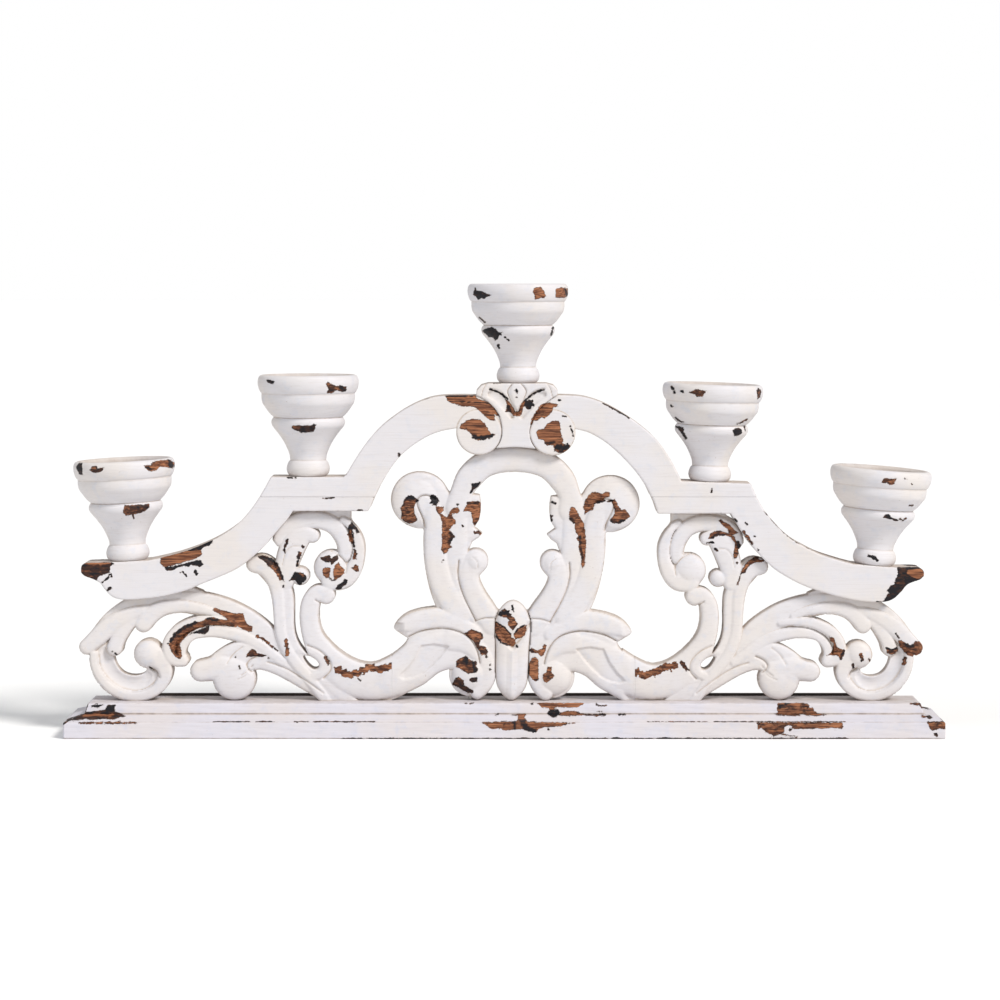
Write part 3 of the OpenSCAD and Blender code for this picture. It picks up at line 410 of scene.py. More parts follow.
WORN["lyre"] = [
    (0.5, 0, [(-104, 224), (-101, 228), (-100, 233), (-96, 237), (-92, 237.5), (-88, 235), (-85, 232),
        (-88, 230), (-89.5, 226), (-89.5, 219), (-86, 213), (-89, 210), (-94, 209), (-99, 210.5),
        (-103, 214), (-102, 219)]),
    (0.0, 1.6, [(-97, 229.5), (-91, 229.5)]),
    (0.97, 1.3, [(-98, 234), (-92, 236), (-87, 232.5)]),
    (0.1, 2.0, [(-95, 214), (-90, 214)]),
    (0.9, 0.9, [(-99, 208), (-97.5, 208)]),
    (0.98, 4.1, [(-70, 233.5), (-69.5, 231.5)]),
    (0.3, 0, [(-69, 227.5), (-66, 226), (-60, 226), (-61, 222), (-63, 219), (-60, 217), (-57, 215),
        (-54, 221), (-51, 224.5), (-46, 225.5), (-44, 222), (-47, 219), (-52, 219), (-51, 214), (-49, 213),
        (-48, 209), (-51, 208), (-55, 203), (-51, 199), (-49, 196), (-53, 194), (-54, 188), (-52, 186),
        (-55, 184), (-57, 180), (-60, 179), (-63, 183), (-62, 188), (-62, 200), (-62, 210), (-64, 217),
        (-67, 221)]),
    (0.8, 1.5, [(-54, 199), (-51, 196), (-55, 191)]),
    (0.9, 0.8, [(-47, 228.5), (-46, 228)]),
    (0.9, 0.8, [(-41.5, 207), (-41, 206.5)]),
    (0.9, 1.0, [(-61, 172.5), (-61.5, 171)]),
    (0.35, 0, [(-41, 221.5), (-38, 227), (-35, 231), (-25, 231), (-21, 228), (-21, 216), (-26, 208),
        (-28, 205), (-31, 209), (-32, 214), (-33, 220.5), (-37, 221.5)]),
    (0.85, 1.0, [(-36, 229.5), (-25, 230)]),
    (0.5, 1.4, [(-29, 200), (-26, 201), (-23, 198)]),
    (0.97, 0, [(-33, 249), (-27, 249.5), (-22, 252), (-26, 246), (-30, 243), (-33, 239), (-35, 239),
        (-32, 245)]),
    (0.55, 0, [(-40, 99.5), (-36, 102.5), (-33, 104), (-28, 102), (-22, 100), (-20.5, 96), (-24, 92),
        (-25, 88), (-19, 87), (-16, 82), (-17, 79), (-23, 78), (-25, 82), (-28, 87), (-31, 92),
        (-36, 96)]),
    (0.15, 2.2, [(-34, 100), (-25, 97)]),
    (0.9, 0.8, [(-18, 78), (-17.5, 76)]),
    (0.9, 0.7, [(-14, 69), (-14, 68.5)]),
    (0.9, 0.8, [(-14.5, 64), (-14, 64)]),
    (0.55, 0, [(-48, 66), (-48, 72), (-42, 76), (-38, 77.5), (-34, 73), (-28, 72), (-27, 69), (-29, 67),
        (-26.5, 65), (-27, 62), (-30, 61), (-36, 60), (-41, 62.5), (-45, 65)]),
    (0.97, 2.2, [(-39, 74), (-36, 71)]),
    (0.97, 1.8, [(-30, 70), (-29, 63)]),
    (0.2, 1.6, [(-44, 68), (-38, 64)]),
    (0.85, 0, [(-35, 52.5), (-33, 56), (-27, 57), (-27, 52), (-31, 51)]),
    (0.75, 0, [(-52, 48), (-49, 55), (-45, 56.5), (-40, 53.5), (-40, 48), (-36, 46), (-31, 43),
        (-31, 40.5), (-36, 40), (-41, 42.5), (-46, 46)]),
    (0.0, 0, [(24, 69), (28, 76), (31, 77), (34, 73), (34, 65), (34, 54), (31, 52), (28, 54), (25, 58),
        (24, 63)]),
    (0.8, 0.9, [(24.5, 68), (24.5, 60)]),
    (0.8, 0.9, [(30, 54), (33.5, 54)]),
    (0.35, 0, [(24, 82), (27, 85.5), (30, 84), (31, 82), (35, 84), (39, 84.5), (38, 87), (40, 89),
        (42, 88), (41, 83), (39, 78), (36, 77), (34, 80), (28, 80.5)]),
    (0.9, 1.0, [(26, 83), (29, 82)]),
    (0.4, 0, [(38, 59), (42, 61), (43, 66.5), (47.5, 66.5), (47, 61), (50, 58), (46.5, 54), (42, 50.5),
        (39, 53)]),
    (0.9, 1.2, [(47, 230.3), (51, 229.5)]),
    (0.8, 2.0, [(46, 216.5), (46.5, 213)]),
    (0.8, 0.8, [(42, 197.5), (43, 197)]),
    (0.3, 0, [(65, 222), (67, 226.5), (70, 225), (74, 219), (77, 213), (79.5, 209), (80.5, 203),
        (81.5, 192), (81, 180), (80, 168), (78, 165), (76.5, 168), (77, 175), (75, 182), (74, 186),
        (75, 190), (72, 194), (74, 197), (71, 201), (70, 206), (70, 210), (66, 213), (64.5, 217)]),
    (0.8, 1.5, [(66, 214), (69, 211)]),
    (0.75, 1.1, [(75, 196), (76, 186), (78, 174)]),
    (0.35, 0, [(78, 225), (80, 229), (81, 233), (84, 237), (88, 240.5), (93, 240), (97, 238.5), (101, 241),
        (105, 240), (105, 236), (100, 234.5), (99, 232), (93, 230), (90, 228.5), (88, 223), (84, 221),
        (80, 218), (80, 222)]),
    (0.9, 0.9, [(90, 229), (95, 230.5), (100, 232)]),
    (0.35, 0, [(103, 231.5), (107, 232), (110, 233.5), (112, 231), (114, 226), (116, 223), (121, 223),
        (124, 219), (125, 216), (120, 212), (117, 209.5), (112, 209), (108, 211), (105, 212.5), (108, 216),
        (110, 220), (109, 226), (107, 230)]),
    (0.85, 1.2, [(107, 211.5), (114, 210), (120, 212.5)]),
    (0.9, 0.9, [(103, 231), (108, 232.5)]),
]

WORN["crest"] = [
    (0.9, 0.9, [(8, 127.5), (9.3, 122)]),
    (0.45, 0, [(-6.5, 118), (-4, 122), (0, 125), (4, 122.5), (7, 118.5), (10, 116), (13.5, 110),
        (11, 106.5), (8.5, 103), (5, 107), (3.5, 110), (5, 114), (2, 116), (-3, 117)]),
    (0.95, 2.2, [(-3, 119.5), (2, 121.5), (5, 119)]),
    (0.3, 0, [(-13, 111.5), (-8, 111), (-3, 109), (2, 105), (6, 101), (7, 97), (11, 94), (11, 90), (9, 86),
        (4, 88), (-1, 89.5), (-6, 94), (-9, 100), (-12, 106)]),
    (0.9, 0.8, [(-8, 111), (0, 106.5), (6, 100)]),
    (0.9, 0.9, [(-8, 97), (-3, 91), (5, 88)]),
    (0.25, 0, [(9, 99), (12, 103.5), (16, 107), (22.5, 108.5), (22, 103), (20.5, 98), (16, 95.5),
        (11, 94)]),
    (0.9, 0.7, [(10, 100), (14, 105), (20, 108)]),
    (0.95, 0.9, [(12.5, 88), (13.5, 86.5)]),
]

WORN["cups"] = [
    (0.97, 0, [(-425, 266), (-422, 270), (-418, 270.5), (-417, 265), (-417, 259), (-421, 259.5)]),
    (0.6, 0, [(-409, 264), (-406, 268), (-402, 268.5), (-400, 266), (-394, 267.5), (-395, 264),
        (-400, 262), (-405, 261.5)]),
    (0.1, 0, [(-355, 269), (-349, 269), (-347, 272), (-340, 273), (-333, 273), (-329, 268), (-331, 264),
        (-336, 266), (-341, 267), (-345, 263), (-351, 263)]),
    (0.9, 1.5, [(-333, 271), (-331, 266)]),
    (0.7, 1.2, [(-353, 267), (-349, 265)]),
    (0.55, 0, [(-377, 222.5), (-375, 229), (-362, 229.5), (-352, 229.5), (-352, 226), (-356, 223),
        (-360, 221), (-368, 219.5), (-374, 219)]),
    (0.85, 1.4, [(-362, 227), (-354, 227.5)]),
    (0.6, 0.8, [(-367.5, 219), (-367, 216)]),
    (0.9, 0, [(-236, 353), (-233, 353.5), (-227, 351.5), (-228, 349), (-234, 350)]),
    (0.65, 0, [(-176, 349), (-174, 351), (-169, 349), (-166, 347), (-161, 347.5), (-156, 346), (-157, 342),
        (-161, 341), (-165, 343), (-170, 340), (-175, 340), (-173, 344)]),
    (0.97, 1.6, [(-162, 345.5), (-158, 343)]),
    (0.85, 0, [(-211, 306), (-207, 308), (-199, 308), (-190, 308), (-188, 310), (-185.5, 309), (-187, 306),
        (-188, 302), (-194, 301), (-200, 300.5), (-207, 303)]),
    (0.4, 1.6, [(-208, 306), (-203, 305)]),
    (0.97, 0, [(-30, 441), (-29, 445), (-27, 441), (-23, 441), (-17, 438.5), (-13, 436.5), (-18, 434.5),
        (-20, 432.5), (-22, 434), (-26, 432), (-28, 435), (-31, 437)]),
    (0.0, 0, [(28, 440), (30, 444), (36, 445), (39, 441), (41, 436), (40, 433.5), (36, 434), (30, 432),
        (30, 436)]),
    (0.0, 0, [(51, 434), (51, 443), (57, 444.5), (63, 443), (64, 436), (60, 434)]),
    (0.9, 1.2, [(61, 442), (62, 437)]),
    (1.0, 0, [(-22, 401), (-20, 403), (-16, 404), (-12, 405), (-8, 403), (-6, 400), (-2.5, 400.5),
        (-2.5, 397), (-5, 397), (-6.5, 393), (-9, 391), (-11, 395), (-15, 394.5), (-18, 397)]),
    (1.0, 1.4, [(-6, 387), (-5.5, 384)]),
    (1.0, 0.8, [(1, 395), (4, 392.5)]),
    (0.7, 0.7, [(-25, 414.5), (-19, 409.5)]),
    (0.9, 1.0, [(48.5, 404), (47, 397)]),
    (0.95, 1.1, [(166, 345.5), (168, 342.5), (168.5, 340)]),
    (0.97, 1.6, [(175.5, 342), (176, 341.5)]),
    (0.55, 0, [(182, 341), (186, 343), (190, 344.5), (194, 343), (199, 343), (197, 340), (195, 337),
        (190, 336.5), (188, 339), (184, 340)]),
    (0.6, 0, [(250, 342), (252, 345), (256, 341), (254, 335), (251, 333), (250.5, 338)]),
    (0.97, 0.9, [(166, 327), (166.4, 326.5)]),
    (0.9, 0.7, [(170, 315), (174, 311.5), (178, 310.5)]),
    (0.9, 0, [(170, 306), (174, 306), (178, 305), (178, 302), (180, 298), (182, 294), (180, 293),
        (177, 298), (174, 302)]),
    (0.95, 0, [(226, 303), (229, 305), (235, 304), (235.5, 300), (233, 298), (228, 297), (227, 300)]),
    (0.5, 0.9, [(231, 309), (236, 311), (241, 313.5)]),
    (0.8, 0.7, [(239, 306), (239.5, 302)]),
    (0.5, 0, [(371, 253), (373, 256.5), (380, 256.5), (387, 256.5), (384, 254), (384, 251), (380, 250),
        (376, 252), (373, 251.5)]),
    (0.7, 0.8, [(394.5, 256.5), (396, 256)]),
    (0.7, 0.7, [(402, 250.7), (402.5, 250.3)]),
    (0.7, 0.8, [(401, 228.5), (405, 229)]),
    (0.95, 0, [(374, 217), (376, 219.5), (380, 220.5), (383, 217), (389, 215), (391, 213.5), (387, 213),
        (383, 215), (378, 216)]),
    (0.75, 1.0, [(392, 215), (395, 213.5), (398, 216)]),
    (1.0, 1.6, [(363, 177), (367, 176.5), (370, 173.5)]),
    (0.9, 0.9, [(347, 181), (349, 184)]),
]

WORN["plinth"] = [
    (1.0, 0, [(-410, 30.5), (-408, 28.5), (-402, 28.3), (-396, 30.8), (-402, 31.3)]),
    (1.0, 0, [(-396, 24.5), (-393, 30.8), (-388, 30.3), (-384, 32.6), (-386, 28.5), (-385, 24)]),
    (0.7, 0, [(-428, 18), (-421, 22), (-415, 24), (-405, 25), (-397, 26), (-387, 25), (-380, 22.8),
        (-374, 20.5), (-380, 19.6), (-387, 18.2), (-394, 19.2), (-404, 18.2), (-414, 18.7), (-420, 18)]),
    (0.1, 0.7, [(-416, 21), (-402, 21.5), (-388, 21)]),
    (0.8, 0.8, [(-434, 15), (-428, 18.5), (-423, 22)]),
    (0.8, 0.8, [(-416, 24), (-414, 27), (-413, 31)]),
    (0.45, 0.9, [(-418, 15.6), (-405, 15.7), (-390, 15.9), (-375, 15.9), (-362, 16)]),
    (0.2, 0, [(32, 33.2), (79, 33.2), (78, 31), (73, 28.5), (66, 28), (58, 28.5), (50, 28.5), (50, 26),
        (45, 26), (44, 28), (37, 28), (35, 30.5)]),
    (1.0, 0, [(42, 22.5), (45, 26), (52, 26.5), (55, 24.5), (54, 21.5), (49, 19.5), (45, 20.5)]),
    (0.4, 0, [(54, 21), (56, 23.5), (60, 24.8), (73, 24.8), (75, 23), (80, 22), (75, 21), (64, 20.6)]),
    (0.7, 0.6, [(80, 21.6), (90, 21.6), (100, 21.6)]),
    (0.7, 0.6, [(91, 24), (97, 24.8)]),
    (0.8, 0.6, [(113, 21.7), (120, 21.7)]),
    (0.8, 0.7, [(-9, 21.8), (-6, 22)]),
    (0.9, 0.8, [(27, 31.5), (28.5, 32.3)]),
    (0.7, 0.8, [(90, 32.5), (94, 30), (101, 30.3)]),
    (0.6, 0.8, [(-38, 32.3), (-30, 32.5)]),
    (0.35, 0, [(-22, 16.6), (13, 17.6), (13.5, 20.5), (6, 21.3), (22, 22.5), (20, 20), (23, 16.8),
        (50, 16.6), (72, 16), (64, 15), (56, 13), (48, 12), (40, 12), (34, 10), (31, 6), (28, 8),
        (24, 7.5), (18, 10), (13, 9.7), (5, 9), (1, 8.5), (-3, 10.3), (-13, 10.2), (-17, 13)]),
    (0.97, 0, [(15, 18), (21, 18), (24, 12), (32, 9), (31, 6), (24, 7.5), (18, 10)]),
    (0.9, 0.8, [(9.5, 16.5), (10, 10)]),
    (0.9, 0.8, [(43, 9.5), (44, 9.5)]),
    (0.4, 0, [(271, 33), (297, 33), (302, 30.5), (302, 28), (306, 28), (307, 25), (311, 22.8), (319, 21.8),
        (310, 20.8), (299, 21), (296, 22.5), (292, 22), (293, 21), (287, 20.8), (271, 21.3), (267, 22),
        (271, 23.5), (270, 26.5)]),
    (0.9, 1.1, [(272.5, 26.5), (273.5, 30.5), (279, 31.5)]),
    (0.9, 1.3, [(296, 29.5), (300, 29.5)]),
    (0.45, 0, [(248, 16.6), (275, 16.6), (300, 16.6), (332, 16.6), (334, 12), (332, 10.4), (320, 11.2),
        (312, 10), (308, 11), (303, 9.6), (290, 10.3), (285, 10), (282, 13), (278, 13.5), (275, 11),
        (276, 8), (273, 6), (280, 4), (289, 3), (288, 1.5), (279, 3), (271, 4.5), (265, 2.5), (262, 5),
        (257, 6.5), (253, 11), (249, 9), (249, 13)]),
    (0.15, 1.5, [(290, 13.5), (310, 13.5), (328, 13.5)]),
    (0.9, 1.2, [(281, 9), (281.5, 9)]),
    (0.5, 0, [(416, 17), (436, 17), (437, 9), (429, 10.5), (421, 8), (418, 12)]),
    (0.7, 1.4, [(424, 5), (426, 3)]),
    (0.5, 0, [(401, 31.5), (405, 33.2), (414, 33.2), (419, 25), (415, 26), (411, 30)]),
    (0.6, 0.8, [(413, 20.5), (422, 20)]),
    # a dark line along the bottom edge: rubbed wear with painted shade under it
    (0.85, 0.5, [(-160, 0.5), (-60, 0.6), (60, 0.5), (180, 0.6), (338, 0.5)]),
    (0.6, 0.2, [(140, 17), (200, 17)]),
    (0.6, 0.3, [(206, 17), (262, 17), (336, 17)]),
    (0.7, 0.35, [(-287, 17), (-250, 17)]),
    (0.7, 0.35, [(-245, 17), (-225.5, 17)]),
    (0.7, 0.35, [(-207, 17), (-192, 17)]),
    (0.7, 0.35, [(-188.5, 17), (-127, 17)]),
]


# ---- curves and distances ----
def smooth_run(points, steps=4, closed=False):
    """A Catmull-Rom curve through the points, with any further columns carried along."""
    p = np.array(points, float)
    count = len(p) if closed else len(p) - 1
    t = (np.arange(steps) / steps)[:, None]
    parts = []
    for i in range(count):
        pick = [i - 1, i, i + 1, i + 2]
        pick = [k % len(p) for k in pick] if closed else [min(max(k, 0), len(p) - 1) for k in pick]
        a, b, c, d = p[pick]
        parts.append(0.5 * (2 * b + (c - a) * t + (2 * a - 5 * b + 4 * c - d) * t ** 2
                            + (3 * b - a - 3 * c + d) * t ** 3))
    if not closed:
        parts.append(p[-1:])
    return np.vstack(parts)


def curve(points):
    """A smooth run as a plain list, for joining outlines."""
    return [tuple(q) for q in smooth_run(points, 3)]


def seat(cup, across):
    """A place on a cup's seat line, so far to the right of its foot's centre."""
    lean = math.radians(cup[2])
    return cup[0] + across * math.cos(lean), cup[1] - across * math.sin(lean)


def soft_max(a, b, k):
    """The larger of two values, rounded over where they differ by less than k."""
    h = np.clip(k - np.abs(a - b), 0, None)
    return np.maximum(a, b) + h * h / (4 * k)


def depth_in_stroke(x, z, stroke):
    """How far each place lies inside a stroke (negative outside), and the half width there."""
    best = np.full(x.shape, -1e3)
    width = np.ones(x.shape)
    for a, b in zip(stroke[:-1], stroke[1:]):
        step = b[:2] - a[:2]
        t = ((x - a[0]) * step[0] + (z - a[1]) * step[1]) / max(step @ step, 1e-9)
        t = np.clip(t, 0, 1)
        w = a[2] + t * (b[2] - a[2])
        s = w - np.hypot(x - a[0] - t * step[0], z - a[1] - t * step[1])
        better = s > best
        best = np.where(better, s, best)
        width = np.where(better, w, width)
    return best, width


def depth_in_polygon(x, z, outline):
    """How far each place lies inside a closed outline, negative outside."""
    p = np.array(outline, float)
    q = np.roll(p, -1, axis=0)
    distance = np.full(x.shape, 1e3)
    crossings = np.zeros(x.shape, int)
    for a, b in zip(p, q):
        step = b - a
        if step @ step < 1e-9:
            continue
        t = np.clip(((x - a[0]) * step[0] + (z - a[1]) * step[1]) / (step @ step), 0, 1)
        distance = np.minimum(distance, np.hypot(x - a[0] - t * step[0], z - a[1] - t * step[1]))
        spans = (a[1] > z) != (b[1] > z)
        if step[1]:
            crossings += spans & (x < a[0] + (z - a[1]) * step[0] / step[1])
    return np.where(crossings % 2 == 1, distance, -distance)


def hand(x, z, phase=0.0):
    """A slow unevenness from -1 to 1, as a carver's hand leaves."""
    return (np.sin(x / 23.0 + 1.3 + phase) * np.sin(z / 17.0 + 0.4 + phase)
            + 0.6 * np.sin(x / 9.1 + z / 13.7 + 2.1 * phase)) / 1.6


RAGGED = np.random.default_rng(11)
# The waves of the broken outlines: direction, length in mm and phase
WAVES = [(RAGGED.uniform(0, math.pi), RAGGED.uniform(2.6, 9.0), RAGGED.uniform(0, 6.28))
         for _ in range(18)]


def ragged(x, z):
    """A broken unevenness of about -1 to 1, for the outlines of worn places."""
    total = np.zeros(x.shape)
    for angle, length, phase in WAVES:
        along = x * math.cos(angle) + z * math.sin(angle)
        total += np.sin(2 * math.pi * along / length + phase + 0.8 * np.sin(along / 5.3))
    return total / 4.2


def blur(field, mask, reach):
    """Box average over the masked part of a grid."""
    def box(a):
        for axis in (0, 1):
            margins = [(reach + 1, reach) if k == axis else (0, 0) for k in (0, 1)]
            total = np.cumsum(np.pad(a, margins), axis=axis)
            n = a.shape[axis]
            high = np.take(total, np.arange(2 * reach + 1, 2 * reach + 1 + n), axis=axis)
            low = np.take(total, np.arange(0, n), axis=axis)
            a = high - low
        return a

    weight = box(mask.astype(float))
    return box(np.where(mask, field, 0.0)) / np.maximum(weight, 1.0)


# ---- reliefs: a drawing on a grid that is given depth ----
class Relief:
    """A board on a grid: where it is wood, half its depth, and the dirt and painted shade in its lines.

    inside is the distance in mm from the drawn outline, cut the distance from sawn edges."""

    def __init__(self, low, high, cell, level):
        self.cell = cell
        xs = np.arange(low[0], high[0] + cell, cell)
        zs = np.arange(low[1], high[1] + cell, cell)
        self.x, self.z = np.meshgrid(xs, zs, indexing="ij")
        self.unfolded = self.x
        self.inside = np.full(self.x.shape, -30.0)
        self.cut = np.full(self.x.shape, UNCUT)
        self.half = np.full(self.x.shape, float(level))
        self.dark = np.zeros(self.x.shape)

    def fold(self, folded):
        """On a folded grid the drawing of the left half lands on both sides of the axis."""
        self.x = -np.abs(self.unfolded) if folded else self.unfolded

    def window(self, points, margin):
        """The part of the grid near some points, or all of a folded one."""
        if self.x is not self.unfolded:
            return slice(None), slice(None)
        p = np.array(points, float)[:, :2]
        low = np.floor((p.min(0) - margin - [self.x[0, 0], self.z[0, 0]]) / self.cell).astype(int)
        high = np.ceil((p.max(0) + margin - [self.x[0, 0], self.z[0, 0]]) / self.cell).astype(int)
        shape = self.x.shape
        low = np.clip(low, 0, [shape[0] - 1, shape[1] - 1])
        high = np.clip(high, low + 1, shape)
        return slice(low[0], high[0]), slice(low[1], high[1])

    def outline_strand(self, points, level=None):
        """Adds a strand's shape to the outline."""
        part = self.window(points, 34)
        s, _ = depth_in_stroke(self.x[part], self.z[part], smooth_run(points, 4))
        self.inside[part] = soft_max(self.inside[part], s, 1.4)
        if level is not None:
            self.half[part] = np.where(s > 0, np.maximum(self.half[part], level), self.half[part])

    def outline_polygon(self, points, level=None, pillow=0.0, reach=8.0):
        """Adds a closed shape to the outline, swelling away from its edges."""
        part = self.window(points, 20)
        s = depth_in_polygon(self.x[part], self.z[part], points)
        self.inside[part] = soft_max(self.inside[part], s, 1.0)
        if level is not None:
            top = level + pillow * np.sqrt(1 - (1 - np.clip(s / reach, 0, 1)) ** 2)
            self.half[part] = np.where(s > 0, np.maximum(self.half[part], top), self.half[part])

    def crown(self, points, level, rise):
        """A rounded strand on the surface."""
        square = 3.1
        part = self.window(points, 30)
        s, w = depth_in_stroke(self.x[part], self.z[part], smooth_run(points, 5))
        r = np.clip(1 - s / w, 0, 1)
        top = level + 0.92 * rise * (1 - r ** square) ** (1 / square) * np.clip(w / 5.0, 0.25, 1)
        self.half[part] = np.where(s > 0, soft_max(self.half[part], top, 0.6), self.half[part])

    def cove(self, points, level, dip):
        """A hollowed strand."""
        part = self.window(points, 12)
        s, w = depth_in_stroke(self.x[part], self.z[part], smooth_run(points, 5))
        r = np.clip(1 - s / w, 0, 1)
        target = level - dip * np.sqrt(1 - r ** 2)
        share = np.clip(s / 1.2, 0, 1)
        self.half[part] += share * (target - self.half[part])

    def dome(self, centre, radius, level, rise):
        """A round boss."""
        part = self.window([centre], radius + 2)
        r = np.hypot(self.x[part] - centre[0], self.z[part] - centre[1]) / radius
        top = level + rise * (1 - np.clip(r, 0, 1) ** 2.1) ** 0.5
        self.half[part] = np.where(r < 1, soft_max(self.half[part], top, 0.35), self.half[part])

    def line(self, points, half_width, depth):
        """An incised line with a V section, and the dirt and painted shade that darken it."""
        path = [(p[0], p[1], half_width) for p in points]
        part = self.window(path, half_width + 3)
        s, _ = depth_in_stroke(self.x[part], self.z[part], smooth_run(path, 4))
        self.half[part] -= depth * np.clip(s / half_width, 0, 1)
        # the line's bottom is darkened: painted shade and dirt
        self.dark[part] = np.maximum(self.dark[part], 0.7 * np.clip(2 * s / half_width - 1, 0, 1))

    def sink(self, outline, depth):
        """A sunk panel with a sloping border, darkened along the border with painted shade."""
        slope = 1.6
        part = self.window(outline, 3)
        s = depth_in_polygon(self.x[part], self.z[part], outline)
        self.half[part] -= depth * np.clip(s / slope, 0, 1)
        self.dark[part] = np.maximum(self.dark[part], 0.6 * np.clip(1 - np.abs(s - 0.5) / 0.8, 0, 1))

    def hole(self, outline):
        """An opening right through."""
        self.inside = np.minimum(self.inside, -depth_in_polygon(self.x, self.z, outline))

    def trim(self, keep):
        """A sawn edge, with wood where keep > 0: it meets another piece and stays square."""
        self.cut = np.minimum(self.cut, keep)

    def build(self, name, places, arris, rows=4, back=None):
        """Turns the grid into a closed mesh. places(x, z) carries the drawing to the shared frame.

        Dirt and painted shade sit in places lower than the mean around them, and rubbing on the higher
        ones."""
        half = self.half + 0.12 * hand(self.x, self.z)
        drop = 1 - np.sqrt(1 - (1 - np.clip(self.inside / arris, 0, 1)) ** 2)
        half = half - arris * drop
        wood = np.minimum(self.inside, self.cut)
        solid = wood > 0
        mean = blur(half, solid, max(int(2.2 / self.cell), 1))
        wide = blur(half, solid, max(int(5.0 / self.cell), 2))
        # hollows darken: dirt and painted shade, by how far a place lies below the mean around it
        hollow = (0.55 * np.clip((mean - half - 0.1) / 0.8, 0, 1)
                  + 0.35 * np.clip((wide - half - 0.4) / 1.8, 0, 1))
        proud = np.clip((half - mean - 0.2) / 0.8, 0, 0.6)
        free = np.clip(1.6 - self.inside / self.cell, 0, 1)
        layers = np.stack([self.x, self.z, half, np.clip(hollow + self.dark, 0, 1), proud, free])
        return relief_mesh(name, layers, wood, solid, places, rows, back, arris)


# The order of the layers that a relief hands to its mesh
X, Z, HALF, SHADE_AND_DIRT, PROUD, FREE = range(6)


def relief_mesh(name, layers, wood, solid, places, rows, back, arris):
    """Marching squares on the wood field: a front sheet, a back sheet and side walls."""
    number = -np.ones(solid.shape, int)
    number[solid] = np.arange(solid.sum())
    inner = layers[:, solid]

    def crossings(first, second, fields_a, fields_b):
        """Where the outline crosses the grid's edges along one axis."""
        change = (first > 0) != (second > 0)
        t = first[change] / (first[change] - second[change])
        t = np.clip(t, 0.06, 0.94)
        mixed = fields_a[:, change] * (1 - t) + fields_b[:, change] * t
        kept = np.where(first[change] > 0, fields_a[:, change], fields_b[:, change])
        mixed[HALF] = kept[HALF] - 0.35 * arris * kept[FREE]
        mixed[SHADE_AND_DIRT] *= 0.4
        mixed[PROUD] = kept[FREE]
        return change, mixed

    along_x, new_x = crossings(wood[:-1], wood[1:], layers[:, :-1], layers[:, 1:])
    along_z, new_z = crossings(wood[:, :-1], wood[:, 1:], layers[:, :, :-1], layers[:, :, 1:])
    count = inner.shape[1]
    edge_x = -np.ones(along_x.shape, int)
    edge_x[along_x] = count + np.arange(along_x.sum())
    edge_z = -np.ones(along_z.shape, int)
    edge_z[along_z] = count + along_x.sum() + np.arange(along_z.sum())
    sheet = np.concatenate([inner, new_x, new_z], axis=1)
    total = sheet.shape[1]

    corners = [number[:-1, :-1], number[1:, :-1], number[1:, 1:], number[:-1, 1:]]
    sides = [edge_x[:, :-1], edge_z[1:, :], edge_x[:, 1:], edge_z[:-1, :]]
    case = sum((corners[k] >= 0).astype(int) << k for k in range(4))
    front, rim = [], []
    for which in range(1, 16):
        cells = case == which
        if not cells.any():
            continue
        ring = []
        for k in range(4):
            here, after = which >> k & 1, which >> ((k + 1) % 4) & 1
            if here:
                ring.append((corners[k][cells], False))
            if here != after:
                ring.append((sides[k][cells], True))
        front.append(np.stack([r[0] for r in ring], axis=1))
        for k, (ids, on_edge) in enumerate(ring):
            following, next_on_edge = ring[(k + 1) % len(ring)]
            if on_edge and next_on_edge:
                rim.append(np.stack([ids, following], axis=1))
    rim = np.concatenate(rim)

    x, z = places(sheet[X], sheet[Z])
    y_front = -sheet[HALF]
    y_back = sheet[HALF] if back is None else np.full(total, back)
    at_edge = np.arange(count, total)
    points = [np.stack([x, y_front, z], 1), np.stack([x, y_back, z], 1)]
    grime = [sheet[SHADE_AND_DIRT], sheet[SHADE_AND_DIRT]]
    proud = [sheet[PROUD], sheet[PROUD]]
    # the walls' tint, a stain and painted shade, starts on their free edges, and the rows between have all
    # of it
    wall = [np.where(np.arange(total) >= count, 0.35 * sheet[FREE], 0.0)] * 2
    for k in range(1, rows):
        share = k / rows
        points.append(np.stack([x, y_front + (y_back - y_front) * share, z], 1)[at_edge])
        grime.append(sheet[SHADE_AND_DIRT][at_edge] * 0.5)
        proud.append(np.zeros(len(at_edge)))
        wall.append(np.ones(len(at_edge)))
    faces = []
    for polygons in front:
        faces += polygons.tolist()
        faces += (polygons[:, ::-1] + total).tolist()

    def row_ids(ids, k):
        if k == 0:
            return ids
        if k == rows:
            return ids + total
        return ids - count + 2 * total + (k - 1) * len(at_edge)

    for k in range(rows):
        quad = [row_ids(rim[:, 1], k), row_ids(rim[:, 0], k), row_ids(rim[:, 0], k + 1),
                row_ids(rim[:, 1], k + 1)]
        faces += np.stack(quad, axis=1).tolist()
    return finish_mesh(name, np.concatenate(points), faces, grime=np.concatenate(grime),
                       proud=np.concatenate(proud), wall=np.concatenate(wall))


def add_layer(mesh, key, values):
    """A value for every vertex, which the materials read."""
    layer = mesh.attributes.new(key, "FLOAT", "POINT")
    layer.data.foreach_set("value", np.asarray(values, np.float32))


def finish_mesh(name, points, faces, **layers):
    """A smooth-shaded object in metres, with its per-vertex layers; points come in millimetres."""
    mesh = bpy.data.meshes.new(name)
    mesh.from_pydata((points * MM).tolist(), [], faces)
    mesh.validate()
    mesh.polygons.foreach_set("use_smooth", [True] * len(mesh.polygons))
    for key, values in layers.items():
        add_layer(mesh, key, values)
    mesh.update()
    obj = bpy.data.objects.new(name, mesh)
    bpy.context.scene.collection.objects.link(obj)
    return obj


